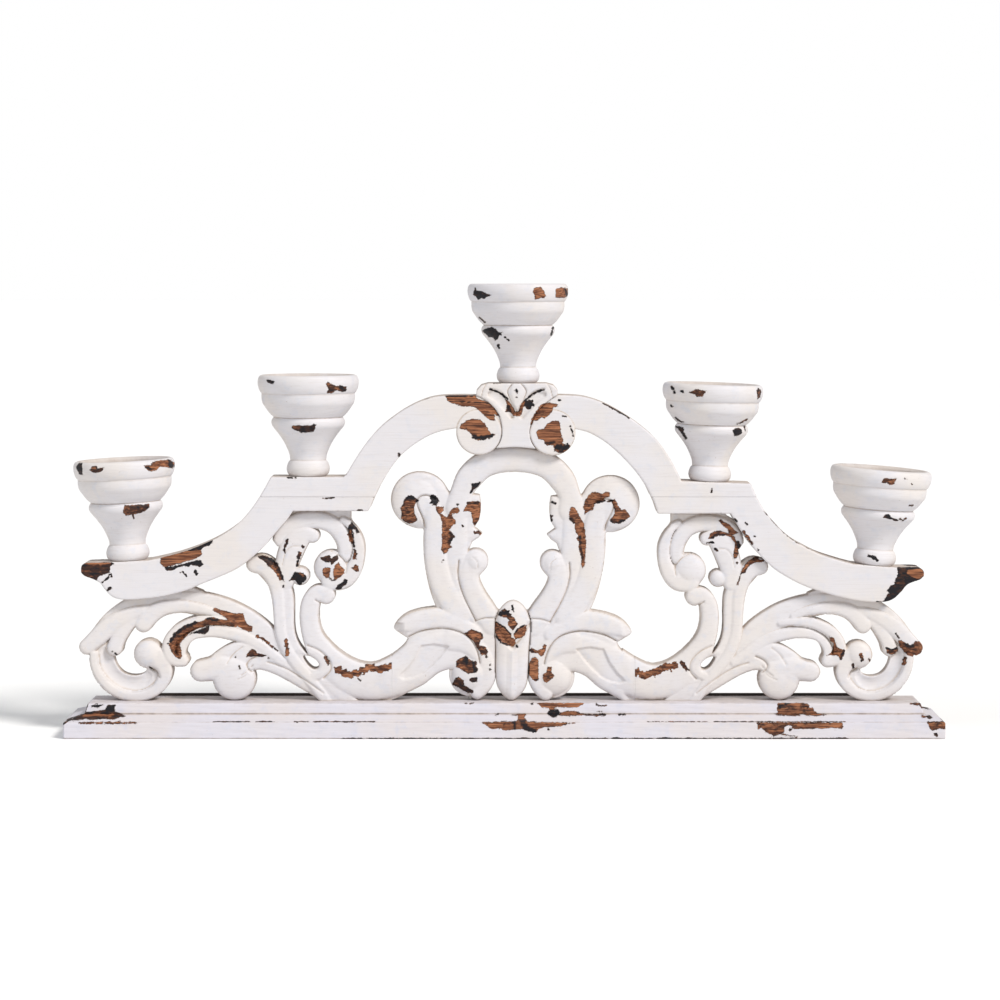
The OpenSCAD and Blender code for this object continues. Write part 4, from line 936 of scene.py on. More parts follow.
def tube_faces(rows, around):
    """The faces of a tube whose vertices run round it row by row, with both its ends closed."""
    ids = np.arange(rows * around).reshape(rows, around)
    after = np.roll(ids, -1, axis=1)
    quads = np.stack([ids[:-1], after[:-1], after[1:], ids[1:]], axis=-1).reshape(-1, 4)
    return quads.tolist() + [ids[0][::-1].tolist(), ids[-1].tolist()]


def behind_the_edges(y, wall, groups):
    """How far in mm a place lies behind a front or back edge, across a wall, a top or a recess."""
    if "plinth" in groups:
        return np.clip(27.5 - np.abs(y), 0, None)
    if "cups" in groups:
        return np.where(wall > 0.4, 40.0, 0.0)
    return np.where(wall > 0.9, np.abs(y).max() - 2 - np.abs(y), 0.0)


def wear_down(obj, groups):
    """Marks the worn places on a piece: the front as drawn, the back with the drawing turned over."""
    mesh = obj.data
    co = np.zeros(len(mesh.vertices) * 3, np.float32)
    mesh.vertices.foreach_get("co", co)
    x, y, z = (co.reshape(-1, 3) / MM).T
    wall = np.zeros(len(x), np.float32)
    mesh.attributes["wall"].data.foreach_get("value", wall)
    # a chip fades raggedly across what lies behind an edge
    behind = behind_the_edges(y, wall, groups)
    fade = 0.9 * np.where(behind > 0, ragged(x, 1.7 * y), 0) - 0.4 * behind
    x = np.where(y > 2, TURNED_SUM - x, x)
    wear = np.zeros(len(x))
    tone = np.full(len(x), 0.5)
    for group in groups:
        for dark, half_width, path in WORN[group]:
            stroke = np.array([(p[0], p[1], half_width) for p in path], float)
            low, high = stroke[:, :2].min(0) - 8, stroke[:, :2].max(0) + 8
            near = (x > low[0]) & (x < high[0]) & (z > low[1]) & (z < high[1])
            if not near.any():
                continue
            if half_width:
                s, _ = depth_in_stroke(x[near], z[near], stroke)
                s = s + min(0.36 * half_width, 1.1) * ragged(x[near], z[near])
            else:
                s = depth_in_polygon(x[near], z[near], path)
            s = s + fade[near]
            scratch = group == "plinth" and 0 < half_width < 0.5
            reach = SCRATCH_SOFTNESS if scratch else CHIP_SOFTNESS
            amount = np.clip(0.5 + s / (2 * reach), 0, 1)
            share = np.maximum(np.clip(1.5 * s + 0.5, 0, 1), amount > wear[near])
            tone[near] += np.where(amount > 0, share, 0) * (dark - tone[near])
            wear[near] = np.maximum(wear[near], amount)
    add_layer(mesh, "wear", wear)
    add_layer(mesh, "tone", tone)


# ---- materials ----
class Shader:
    """A node tree with short calls for the nodes used here."""

    def __init__(self, name):
        self.material = bpy.data.materials.new(name)
        self.material.use_nodes = True
        self.tree = self.material.node_tree
        self.tree.nodes.clear()
        self.surface = self.node("ShaderNodeBsdfPrincipled")
        output = self.node("ShaderNodeOutputMaterial")
        self.link(self.surface.outputs[0], output.inputs["Surface"])
        self.place = self.node("ShaderNodeTexCoord").outputs["Object"]

    def node(self, kind, **settings):
        made = self.tree.nodes.new(kind)
        for key, value in settings.items():
            setattr(made, key, value)
        return made

    def link(self, out, into):
        self.tree.links.new(out, into)

    def feed(self, socket, value):
        """Puts a link or a plain value on an input."""
        if isinstance(value, bpy.types.NodeSocket):
            self.link(value, socket)
        else:
            socket.default_value = value

    def layer(self, key):
        """A per-vertex layer of the mesh."""
        return self.node("ShaderNodeAttribute", attribute_name=key).outputs["Fac"]

    def math(self, operation, a, b):
        made = self.node("ShaderNodeMath", operation=operation)
        self.feed(made.inputs[0], a)
        self.feed(made.inputs[1], b)
        return made.outputs[0]

    def plus(self, a, b):
        return self.math("ADD", a, b)

    def minus(self, a, b):
        return self.math("SUBTRACT", a, b)

    def times(self, a, b):
        return self.math("MULTIPLY", a, b)

    def step(self, value, low, high, to_low=0.0, to_high=1.0):
        """A smooth step of a value from low to high, onto to_low and to_high."""
        made = self.node("ShaderNodeMapRange", interpolation_type="SMOOTHSTEP")
        for socket, v in zip(made.inputs, (value, low, high, to_low, to_high)):
            self.feed(socket, v)
        return made.outputs[0]

    def mix(self, share, a, b, blend="MIX"):
        made = self.node("ShaderNodeMix", data_type="RGBA", blend_type=blend)
        self.feed(made.inputs["Factor"], share)
        for socket, value in ((made.inputs[6], a), (made.inputs[7], b)):
            self.feed(socket, value if isinstance(value, bpy.types.NodeSocket) else (*value, 1.0))
        return made.outputs[2]

    def stretched(self, size, offset):
        """Object coordinates in features of the given size in mm, along x, y and z."""
        made = self.node("ShaderNodeMapping")
        made.inputs["Scale"].default_value = [1000.0 / s for s in size]
        made.inputs["Location"].default_value = (offset, offset * 0.7, offset * 1.3)
        self.link(self.place, made.inputs["Vector"])
        return made.outputs[0]

    def noise(self, size, detail, roughness, offset, warp=0.0):
        """A noise from 0 to 1 with features of one size in mm, or of three along x, y and z."""
        made = self.node("ShaderNodeTexNoise")
        size = size if isinstance(size, tuple) else (size,) * 3
        self.link(self.stretched(size, offset), made.inputs["Vector"])
        made.inputs["Scale"].default_value = 1.0
        made.inputs["Detail"].default_value = detail
        made.inputs["Roughness"].default_value = roughness
        made.inputs["Distortion"].default_value = warp
        return made.outputs["Fac"]

    def bumps(self, height, distance):
        """Small relief on the surface, distance in metres."""
        made = self.node("ShaderNodeBump")
        made.inputs["Strength"].default_value = 1.0
        made.inputs["Distance"].default_value = distance
        self.link(height, made.inputs["Height"])
        self.link(made.outputs[0], self.surface.inputs["Normal"])


COOL_WHITE, WARM_WHITE, BLUE_WHITE = (0.665, 0.645, 0.665), (0.68, 0.64, 0.62), (0.57, 0.585, 0.65)
BRUSH_GREY, SPECK_BROWN = (0.575, 0.535, 0.53), (0.36, 0.29, 0.25)
# Beige for the hollows is patina and dirt with painted shade, near black is painted shade in the deepest
# crevices, and the wall colour is a stain with painted shade
PATINA_AND_SHADE, WALL_STAIN_AND_SHADE = (0.52, 0.43, 0.35), (0.47, 0.385, 0.32)
DUST_BROWN, CREVICE_SHADE = (0.34, 0.27, 0.22), (0.10, 0.075, 0.06)
WOOD_LIGHT, WOOD_MID, WOOD_DARK = (0.37, 0.15, 0.07), (0.115, 0.04, 0.021), (0.026, 0.012, 0.010)
WOOD_BLACK, CHIP_RIM = (0.010, 0.009, 0.012), (0.016, 0.011, 0.010)
PAINT_GLOSS = 0.22
# The wear at which the paint ends
PAINT_END = 0.485


def worn_paint(name, seed, grain=(26.0, 1.6, 1.6), brush=(18.0, 1.2, 1.2), brush_depth=0.12,
               speckle=0.5, grime_gain=1.0, shade=(1.0, 1.0, 1.0)):
    """White paint over brown wood, chipped where the wear layer says and rubbed on proud edges."""
    sh = Shader(name)
    broad = sh.noise(64.0, 2.0, 0.5, seed)
    mottle = sh.noise(11.0, 4.0, 0.62, seed + 3)
    fine = sh.noise(2.4, 3.0, 0.6, seed + 5)
    strokes = sh.noise(brush, 3.0, 0.6, seed + 7)
    # where the paint has gone
    torn = sh.noise((4.6, 4.6, 2.6), 5.0, 0.72, seed + 11, 0.6)
    crumbs = sh.noise((1.7, 1.3, 1.1), 3.0, 0.65, seed + 13)
    edge_spots = sh.step(sh.noise((16.0, 16.0, 12.0), 3.0, 0.6, seed + 17), 0.60, 0.72)
    rubbed = sh.times(sh.times(sh.layer("proud"), edge_spots), 0.42)
    worn = sh.plus(sh.layer("wear"), rubbed)
    worn = sh.plus(worn, sh.times(sh.minus(torn, 0.5), 0.62))
    worn = sh.plus(worn, sh.times(sh.minus(crumbs, 0.5), 0.42))
    bare = sh.step(worn, PAINT_END, 0.515)
    halo = sh.step(worn, 0.40, 0.49)
    # paint
    paint = sh.mix(sh.step(broad, 0.40, 0.62), COOL_WHITE, WARM_WHITE)
    paint = sh.mix(sh.step(mottle, 0.50, 0.75, 0.0, 0.55), paint, BLUE_WHITE)
    paint = sh.mix(sh.step(strokes, 0.45, 0.8, 0.0, 0.5), paint, BRUSH_GREY)
    paint = sh.mix(sh.step(fine, 0.70, 0.745, 0.0, speckle), paint, SPECK_BROWN)
    # patina, dirt and painted shade in the hollows, with painted shade near black in the deepest
    dirt_shade_amount = sh.times(sh.layer("grime"), sh.step(mottle, 0.25, 0.7, 0.55, 1.15))
    dirt_shade_amount = sh.times(dirt_shade_amount, grime_gain)
    paint = sh.mix(sh.step(dirt_shade_amount, 0.08, 0.8, 0.0, 0.75), paint, PATINA_AND_SHADE)
    paint = sh.mix(sh.step(dirt_shade_amount, 0.62, 1.1, 0.0, 0.55), paint, CREVICE_SHADE)
    # the side walls' tint: a stain and painted shade
    side = sh.times(sh.layer("wall"), sh.step(mottle, 0.3, 0.7, 0.55, 0.95))
    paint = sh.mix(side, paint, WALL_STAIN_AND_SHADE)
    rubbed_thin = sh.step(sh.layer("proud"), 0.35, 1.0, 0.0, 0.5)
    edge_tint = sh.times(rubbed_thin, sh.step(mottle, 0.35, 0.65, 0.3, 1.0))
    paint = sh.mix(edge_tint, paint, DUST_BROWN)
    paint = sh.mix(sh.times(halo, 0.45), paint, DUST_BROWN)
    # bare wood
    rings = sh.noise(grain, 4.0, 0.65, seed + 19, 0.3)
    streaks = sh.noise(tuple(0.6 * g for g in grain), 3.0, 0.6, seed + 29, 0.2)
    wood = sh.mix(sh.step(rings, 0.40, 0.60), WOOD_MID, WOOD_LIGHT)
    wood = sh.mix(sh.step(streaks, 0.54, 0.63, 0.0, 0.8), wood, WOOD_DARK)
    patch = sh.noise((7.0, 7.0, 3.0), 4.0, 0.62, seed + 23, 0.5)
    tone = sh.plus(sh.layer("tone"), sh.times(sh.minus(patch, 0.5), 1.7))
    wood = sh.mix(sh.step(tone, 0.28, 0.66, 0.0, 0.9), wood, WOOD_DARK)
    wood = sh.mix(sh.step(tone, 0.70, 0.95), wood, WOOD_BLACK)
    # a dark broken line round each worn place
    lip = sh.times(sh.step(worn, PAINT_END, 0.50), sh.step(worn, 0.60, 0.53))
    wood = sh.mix(sh.times(lip, 0.75), wood, CHIP_RIM)
    paint = sh.mix(1.0, paint, shade, "MULTIPLY")
    sh.feed(sh.surface.inputs["Base Color"], sh.mix(bare, paint, wood))
    sh.feed(sh.surface.inputs["Roughness"], sh.step(mottle, 0.3, 0.75, 0.50, 0.68))
    sh.surface.inputs["Specular IOR Level"].default_value = PAINT_GLOSS
    # thickness of the paint, brush marks, and open grain in the bare wood
    skin = sh.minus(1.0, bare)
    texture = sh.plus(sh.times(strokes, brush_depth), sh.times(fine, 0.05))
    texture = sh.plus(texture, sh.times(mottle, 0.14))
    fibres = sh.times(sh.times(rings, bare), 0.55)
    height = sh.plus(sh.plus(sh.times(skin, 0.7), texture), fibres)
    sh.bumps(height, 0.0006)
    return sh.material


def steel(name):
    """Turned steel with a little rust."""
    sh = Shader(name)
    turned = sh.noise((0.6, 0.6, 6.0), 3.0, 0.6, 2)
    stain = sh.noise(3.0, 4.0, 0.6, 9)
    metal = sh.mix(sh.step(stain, 0.45, 0.7), (0.50, 0.49, 0.47), (0.30, 0.24, 0.19))
    sh.feed(sh.surface.inputs["Base Color"], metal)
    sh.feed(sh.surface.inputs["Roughness"], sh.step(turned, 0.3, 0.7, 0.28, 0.5))
    sh.surface.inputs["Metallic"].default_value = 1.0
    sh.bumps(turned, 0.0001)
    return sh.material


def bare_wood(name, light, dark, seed, grain):
    """Unpainted wood, with grain features of the given size in mm along x, y and z."""
    sh = Shader(name)
    rings = sh.noise(grain, 4.0, 0.62, seed, 0.4)
    pores = sh.noise((grain[0] * 0.3, 0.5, 0.5), 2.0, 0.5, seed + 2)
    tint = sh.mix(sh.step(rings, 0.35, 0.65), dark, light)
    tint = sh.mix(sh.step(pores, 0.58, 0.7, 0.0, 0.6), tint, tuple(0.5 * c for c in dark))
    sh.feed(sh.surface.inputs["Base Color"], tint)
    sh.feed(sh.surface.inputs["Roughness"], sh.step(rings, 0.3, 0.7, 0.6, 0.78))
    sh.bumps(rings, 0.0003)
    return sh.material


PAINTS = {
    "carving": worn_paint("paint_on_carving", 1.0, grain=(14.0, 3.0, 1.7), brush=(9.0, 5.0, 2.2),
                          grime_gain=0.8),
    "rail": worn_paint("paint_on_rail", 31.0, grain=(34.0, 1.5, 1.5), brush=(30.0, 1.0, 1.0),
                       brush_depth=0.2, speckle=0.3),
    "cup": worn_paint("paint_on_cups", 67.0, grain=(9.0, 9.0, 1.4), brush=(14.0, 14.0, 1.3),
                      brush_depth=0.14, speckle=0.7),
    "plinth": worn_paint("paint_on_plinth", 95.0, grain=(40.0, 1.4, 1.4), brush=(36.0, 1.1, 1.1),
                         brush_depth=0.2, speckle=0.35, shade=(0.93, 0.93, 0.98)),
}


def settle(obj, node, paint, worn_groups):
    """Gives a finished piece its worn places, material and body, and hides the frame node it stands for.
    """
    wear_down(obj, worn_groups)
    obj.data.materials.append(PAINTS[paint])
    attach(obj, "root")
    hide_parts(node)


# ---- the carved panels ----
def unmoved(x, z):
    """For reliefs drawn in the shared frame."""
    return x, z


def as_drawn(points):
    return points


def as_right(points):
    """The right panel is the left one mirrored, a little shorter and lower."""
    out = []
    for p in points:
        q = (24.9 + 0.925 * abs(p[0]), 33 + 0.982 * (p[1] - 33))
        out.append(q + ((p[2] * 0.955,) if len(p) == 3 else ()))
    return out


def arm_under(right):
    """The rail's underside over a panel, as a closed shape that reaches up past the panel."""
    if right:
        return [(152.5, 219.5)] + curve(ARM_RIGHT_UNDER) + [(440, 160), (440, 260), (152.5, 260)]
    return [(-135.5, 222)] + curve(ARM_LEFT_UNDER) + [(-440, 160), (-440, 260), (-135.5, 260)]


def run_through(panel, gx, gz, right):
    """Brings a panel to the shared section of the S-arm where it crosses a seam."""
    seam, arm = THROUGH_ARMS[right]
    s, w = depth_in_stroke(gx, gz, smooth_run(arm, 5))
    near = np.abs(gx - seam) < 12
    panel.inside = np.where(near, soft_max(panel.inside, s, 0.6), panel.inside)
    r = np.clip(1 - s / w, 0, 1)
    section = S_ARM_LEVEL + S_ARM_RISE * (1 - r ** 2.5) ** 0.4
    share = np.clip(1.5 - np.abs(gx - seam) / 9, 0, 1)
    share = share * share * (3 - 2 * share) * (gz < 110)
    panel.half = panel.half + share * (section - panel.half)
    panel.dark = panel.dark * (1 - share)


def dot(circle):
    """A strand that is just one circle."""
    x, z, radius = circle
    return [circle, (x + 0.1, z, radius)]


def painted_foot_shadow(panel, gz):
    """Painted contact shadow along the line where a panel stands on the plinth, gz being the height in the
    frame.
    """
    panel.dark = np.maximum(panel.dark, 0.85 * np.clip(1 - (gz - BASE_H) / FOOT_SHADOW_BAND, 0, 1))


def scroll_panel(name, right):
    """A pierced side panel: its webs and strands, then their crowns, hollows, eyes and lines."""
    move = as_right if right else as_drawn
    low, high = ((124, 31), (424, 226)) if right else ((-428, 31), (-108, 228))
    panel = Relief(low, high, 0.95, 8.0)
    for web in (WEB_TOP, WEB_ARM, WEB_FOOT):
        panel.outline_polygon(move(web), 8.0)
    panel.outline_strand(move(OUTER_ARCH), 7.8)
    for strand in (LOWER_C, SECOND_BAND, LOBED_LEAF, LOW_BAND, STEM, UPPER_LEAF, UPPER_C):
        panel.outline_strand(move(strand), 8.0)
    panel.outline_strand(move(INNER_C), 8.5)
    for strand in (FINGER_2, FINGER_3):
        panel.outline_strand(move(strand), 8.0)
    for eye in EYES:
        panel.outline_strand(move(dot(eye)), 7.0)
    panel.crown(move(OUTER_ARCH), 7.6, 2.8)
    panel.cove(move(C_COVE), 10.5, 4.6)
    for strand, level, rise in ((ARCH_TIP, 8.6, 5.2), (FINGER_2, 8.0, 4.8), (FINGER_3, 8.8, 5.2),
                                (C_RIM, 8.0, 5.6), (BAND_OUTER, 8.8, 5.2), (BAND_INNER, 8.0, 4.6),
                                (LEAF_BACK, 8.0, 4.0), (BALL_LEAF, 7.6, 7.2), (LOW_BAND, 8.0, 3.6),
                                (STEM_LEFT, 8.6, 4.8), (STEM_RIGHT, 8.2, 4.0), (UPPER_LEAF, 8.4, 5.0),
                                (U_INNER, 8.0, 4.8), (U_OUTER, 8.6, 5.4), (INNER_C, 8.6, 5.2),
                                (RING, 9.8, 4.0)):
        panel.crown(move(strand), level, rise)
    for eye, rise in zip(EYES, (8.2, 7.6, 8.0, 7.2)):
        x, z, radius = move([eye])[0]
        panel.dome((x, z), radius, 7.0, rise)
    for points, half_width, depth in SCROLL_LINES:
        panel.line(move(points), half_width, depth)
    panel.hole(smooth_run(move(RING_HOLE), 4, closed=True))
    run_through(panel, panel.x, panel.z, right)
    panel.trim(panel.z - BASE_H)
    panel.trim(-depth_in_polygon(panel.x, panel.z, arm_under(right)))
    beside = panel.x - SEAM_R if right else SEAM_L - panel.x
    panel.trim(np.where(panel.z < 110, beside, UNCUT))
    painted_foot_shadow(panel, panel.z)
    return panel.build(name, unmoved, PANEL_ARRIS)


def lyre_place(u, v):
    """From the lyre's own frame to the shared one: it leans a little to the right."""
    across = u * math.cos(LYRE_LEAN) + (v - LYRE_FOOT[1]) * math.sin(LYRE_LEAN)
    up = (v - LYRE_FOOT[1]) * math.cos(LYRE_LEAN) - u * math.sin(LYRE_LEAN)
    return LYRE_FOOT[0] + across, LYRE_FOOT[1] + up


def crest_outline():
    """The leaf on the lyre's axis, as a closed shape."""
    side = curve(CREST_SIDE)
    return side + [(-x, z) for x, z in reversed(side[1:])]


def lyre_panel(name):
    """The middle panel. Only the S-arms differ from side to side, so the rest is drawn folded."""
    panel = Relief((-140, 31), (140, 290), 0.92, 8.5)
    panel.fold(True)
    wing = (curve(WING_TIP) + curve(WING_TOP) + [(0, 115), (0, 90), (0, 60), (-16, 60)]
            + curve(WING_FOOT) + [(-140, 30), (-140, 75)])
    panel.outline_polygon(wing, 8.6, 3.4, 9.0)
    panel.outline_polygon(INNER_LEAF, 8.6, 2.4, 7.0)
    for strand, level in ((LYRE_STEM, 8.6), (LYRE_RING, 8.6), (LYRE_INNER, 8.4), (VOLUTE_WRAP, 8.4)):
        panel.outline_strand(strand, level)
    for circle in (VOLUTE, (-94, 230, 28)):
        panel.outline_strand(dot(circle), 8.4)
    column = curve(COLUMN_SIDE) + [(-x, z) for x, z in reversed(curve(COLUMN_SIDE))]
    panel.outline_polygon(column, 7.5)
    panel.outline_polygon([(-16, 86), (0, 86), (0, 122), (-16, 122)], 8.0)
    for strand, level, rise in ((LYRE_STEM, 8.0, 3.0), (STEM_OUTER, 8.8, 5.0), (STEM_INNER, 8.6, 4.2),
                                (LYRE_RING, 8.0, 5.6), (LYRE_INNER, 8.2, 6.0), (VOLUTE_WRAP, 8.2, 6.2),
                                (WING, 8.2, 6.0)):
        panel.crown(strand, level, rise)
    panel.dome((-99, 229), 24.5, 8.0, 5.8)
    panel.dome(VOLUTE[:2], VOLUTE[2] - 2.5, 7.2, 8.2)
    panel.dome((-38.3, 170.5), 12.3, 7.0, 8.2)
    panel.fold(False)
    for strand in (S_ARM_LEFT, S_ARM_RIGHT):
        panel.crown(strand, 8.0, 5.8)
    panel.fold(True)
    panel.sink(SUNK_LEAF, 1.8)
    for points, half_width, depth in LYRE_LINES:
        panel.line(points, half_width, depth)
    panel.fold(False)
    pocket = depth_in_polygon(panel.x, panel.z, crest_outline())
    panel.half = np.where(pocket > -0.4, POCKET_HALF, panel.half)
    gx, gz = lyre_place(panel.x, panel.z)
    for right in (False, True):
        run_through(panel, gx, gz, right)
    panel.trim(gz - BASE_H)
    panel.trim(np.where(gz < 90, np.minimum(gx - SEAM_L, SEAM_R - gx), UNCUT))
    for x, z, radius in DISCS:
        panel.trim(np.hypot(gx - x, gz - z) - radius - 0.2)
    panel.trim(-depth_in_polygon(gx, gz, keystone_outline()))
    painted_foot_shadow(panel, gz)
    return panel.build(name, lyre_place, PANEL_ARRIS)


def crest_leaf(name):
    """The leaf let into the lyre: an egg above, a ridged stalk below and a V line on each side."""
    panel = Relief((-22, 31), (22, 136), 0.6, 12.0)
    panel.outline_polygon(crest_outline(), 10.5, 6.0, 10.0)
    spine = np.clip(1 - np.abs(panel.x) / 5.5, 0, 1)
    below = np.clip((96 - panel.z) / 20, 0, 1)
    panel.half = panel.half - 0.8 * below + 1.3 * below * spine
    egg = np.hypot(panel.x / 15.5, (panel.z - 112) / 20.5)
    dome = 13.2 + 5.2 * np.sqrt(np.clip(1 - egg ** 2, 0, 1))
    panel.half = np.where(egg < 1, np.maximum(panel.half, dome), panel.half)
    for side in (-1, 1):
        panel.line([(0, 87), (side * 6, 92), (side * 12, 100), (side * 16.5, 109)], 4.2, 2.6)
    panel.half = np.minimum(panel.half, 19.6)
    gz = lyre_place(panel.x, panel.z)[1]
    panel.trim(gz - BASE_H)
    return panel.build(name, lyre_place, CREST_ARRIS, rows=3, back=-7.0)


# ---- the rail ----
def keystone_outline():
    """The waisted block between the discs, as a closed shape."""
    return ([(-16, 349), (42, 349), (49, 347), (53, 342.5)] + curve(KEY_RIGHT)
            + curve([(22, 285), (12, 285.6), (1, 285.2)]) + curve(KEY_LEFT)[::-1]
            + [(-27.5, 342), (-23, 347)])


def arm_outline(right):
    """An outer rail board below the glue line, as a closed shape that reaches a little above it."""
    if right:
        return ([(144, GLUE_Z + 5), (149, 230), (152.5, 219.5)] + curve(ARM_RIGHT_UNDER)
                + curve([(417.2, 161), (415.5, 164), (411, 165.3), seat(CUPS[4], 24)])
                + [seat(CUPS[4], -22)] + curve(ARM_RIGHT_TOP) + [(249, GLUE_Z + 5)])
    return ([(-127, GLUE_Z + 5), (-133, 226), (-135.5, 222)] + curve(ARM_LEFT_UNDER)
            + curve([(-420.5, 165), (-419.6, 168.5), seat(CUPS[0], -40)])
            + [seat(CUPS[0], 22)] + curve(ARM_LEFT_TOP) + [(-241, GLUE_Z + 5)])


def arch_outline(right):
    """Half of the arch above the glue line, as a closed shape that reaches a little below it."""
    if right:
        return ([(148.3, GLUE_Z - 5), (253.5, GLUE_Z - 5), (248, 242.5), seat(CUPS[3], 39.7),
                 seat(CUPS[3], -29.3)] + curve(ARCH_RIGHT_TOP) + curve(KEY_RIGHT) + [(48, 290)]
                + curve(ARCH_RIGHT_UNDER))
    return ([(-131, GLUE_Z - 5), (-246, GLUE_Z - 5), (-241, 240), (-238, 245), (-234.5, 251.5),
             (-232, 256), (-160, 256)] + curve(ARCH_LEFT_TOP) + curve(KEY_LEFT) + [(-25, 290)]
            + curve(ARCH_LEFT_UNDER))


def board(name, outline, above, disc=None):
    """A sawn board with rubbed arrises: above is 1 over the glue line and -1 under it.

    An arch board also has a round end, the disc."""
    p = np.array(outline)
    low, high = p.min(0) - 4, p.max(0) + 4
    if disc is not None:
        low = np.minimum(low, np.array(disc[:2]) - disc[2] - 4)
        high = np.maximum(high, np.array(disc[:2]) + disc[2] + 4)
    panel = Relief(low, high, 1.0, RAIL_HALF)
    panel.outline_polygon(outline)
    panel.half = panel.half + 0.18 * hand(panel.x, panel.z, 2.0)
    panel.trim(above * (panel.z - GLUE_Z))
    # the glue line only shows on the left
    if p[:, 0].mean() < 0:
        panel.dark = 0.5 * np.clip(1 - np.abs(panel.z - GLUE_Z) / 1.2, 0, 1)
    if disc is not None:
        r = np.hypot(panel.x - disc[0], panel.z - disc[1])
        panel.inside = np.maximum(panel.inside, disc[2] - r)
        ring = np.clip((disc[2] - r) / 1.6, 0, 1)
        swell = RAIL_HALF - 0.6 + 1.5 * np.sqrt(1 - (1 - ring) ** 2)
        panel.half = np.where(r < disc[2], swell, panel.half)
        # a dark ring of painted shade round the disc's edge
        panel.dark = np.maximum(panel.dark, 0.8 * np.clip(1 - np.abs(r - disc[2]) / 1.3, 0, 1))
    return panel.build(name, unmoved, BOARD_ARRIS, rows=8)


def keystone(name):
    """The block between the discs, with two hollowed leaves that meet below a pointed bead."""
    outline = keystone_outline()
    p = np.array(outline)
    panel = Relief(p.min(0) - 3, p.max(0) + 3, 0.8, RAIL_HALF + 1.6)
    panel.outline_polygon(outline)
    for x, z, radius in DISCS:
        panel.trim(np.hypot(panel.x - x, panel.z - z) - radius - 0.3)

    def about(points, side):
        return [(KEY_MIDDLE + side * p[0],) + tuple(p[1:]) for p in points]

    for side in (-1, 1):
        panel.cove(about(KEY_LEAF, side), RAIL_HALF + 1.4, 2.4)
        for points, half_width, depth in KEY_LINES:
            panel.line(about(points, side), half_width, depth)
    panel.crown(about(KEY_BEAD, 1), RAIL_HALF + 1.2, 1.6)
    panel.half = np.minimum(panel.half, RAIL_HALF + 2.6)
    return panel.build(name, unmoved, KEY_ARRIS, rows=8)


# ---- the turned cups ----
def candle_cup(name, cup, seed):
    """A lathe-turned cup, a little out of true, down its own axis.

    The profile runs from the recess floor outwards, over the rim and down to the foot."""
    foot_x, foot_z, lean, tall = cup
    lean = math.radians(lean)
    outer = np.vstack([smooth_run(part, 6)[:-1] for part in (RIM, BOWL, COLLAR, FOOT)] + [[(16.5, 0)]])
    inner = np.array(RECESS, float)
    inner = np.vstack([inner[k] + (inner[k + 1] - inner[k]) * t for k in range(len(inner) - 1)
                       for t in np.linspace(0, 1, 5)[:-1][:, None]] + [inner[-1:]])
    profile = np.vstack([inner, outer, [(0.1, 0)]])
    rows = len(profile)
    r0, h0 = profile[:, :1], profile[:, 1:]
    angle = (np.arange(CUP_SIDES) * 2 * math.pi / CUP_SIDES)[None, :]
    uneven = (h0 > 1) & (r0 > 10)
    wobble = 0.22 * np.sin(2 * angle + seed) + 0.14 * np.sin(3 * angle + h0 / 21 + 2 * seed)
    radius = r0 + np.where(uneven, np.clip(wobble, -0.35, 0.0), 0)
    height = tall * h0 + 0 * angle
    px, py = radius * np.cos(angle), radius * np.sin(angle)
    x = foot_x + px * math.cos(lean) + height * math.sin(lean)
    z = foot_z + height * math.cos(lean) - px * math.sin(lean)
    points = np.stack([x, py, z], axis=-1).reshape(-1, 3)
    # dirt and painted shade in the hollows of the profile and in the recess, rubbing on its proud rings
    normal_r = np.gradient(profile[:, 1])
    normal_h = -np.gradient(profile[:, 0])
    turn = np.gradient(np.unwrap(np.arctan2(normal_h, normal_r)))
    turn = np.convolve(turn, np.ones(5) / 5, mode="same")
    grime = np.clip(turn * 2.2, 0, 0.8)
    grime[:len(inner)] = np.maximum(grime[:len(inner)], 0.25)
    proud = np.clip(-turn * 4.0, 0, 1)
    # the recess gets half the walls' tint: painted shade inside the cup
    wall = np.zeros(rows)
    wall[:len(inner)] = 0.5
    return finish_mesh(name, points, tube_faces(rows, CUP_SIDES), grime=np.repeat(grime, CUP_SIDES),
                       proud=np.repeat(proud, CUP_SIDES), wall=np.repeat(wall, CUP_SIDES))


# ---- the plinth ----
def moulded_board(name, half_x, half_y, profile, grime, proud):
    """A board whose moulding runs round all four sides. profile: how far in, and how high."""
    nx, ny = int(2 * half_x / PLINTH_SPACING), int(2 * half_y / PLINTH_SPACING)
    tx = np.linspace(-1, 1, nx + 1)[:-1]
    ty = np.linspace(-1, 1, ny + 1)[:-1]
    side_x = np.concatenate([tx, np.ones(ny), -tx, -np.ones(ny)])
    side_y = np.concatenate([-np.ones(nx), ty, np.ones(nx), -ty])
    rings = []
    for inset, z in profile:
        x, y = side_x * (half_x - inset), side_y * (half_y - inset)
        height = np.full(len(x), z)
        # a slight bend, but not underneath or on top
        if 0.5 < z < BASE_H - 0.5:
            height = height + 0.02 * np.sin(x / 140 + 1)
        # dents, except far in
        if inset <= 30:
            dent = 0.16 * np.sin(x / 31 + z) * np.sin(x / 7.3 + y / 11 + z * 2)
            x = x - 0.4 * dent * side_x
            y = y - (dent + 0.16) * side_y
        rings.append(np.stack([x, y, height], axis=1))
    around = len(side_x)
    faces = tube_faces(len(profile), around)
    return finish_mesh(name, np.concatenate(rings), faces, grime=np.repeat(grime, around),
                       proud=np.repeat(proud, around), wall=np.zeros(len(profile) * around))


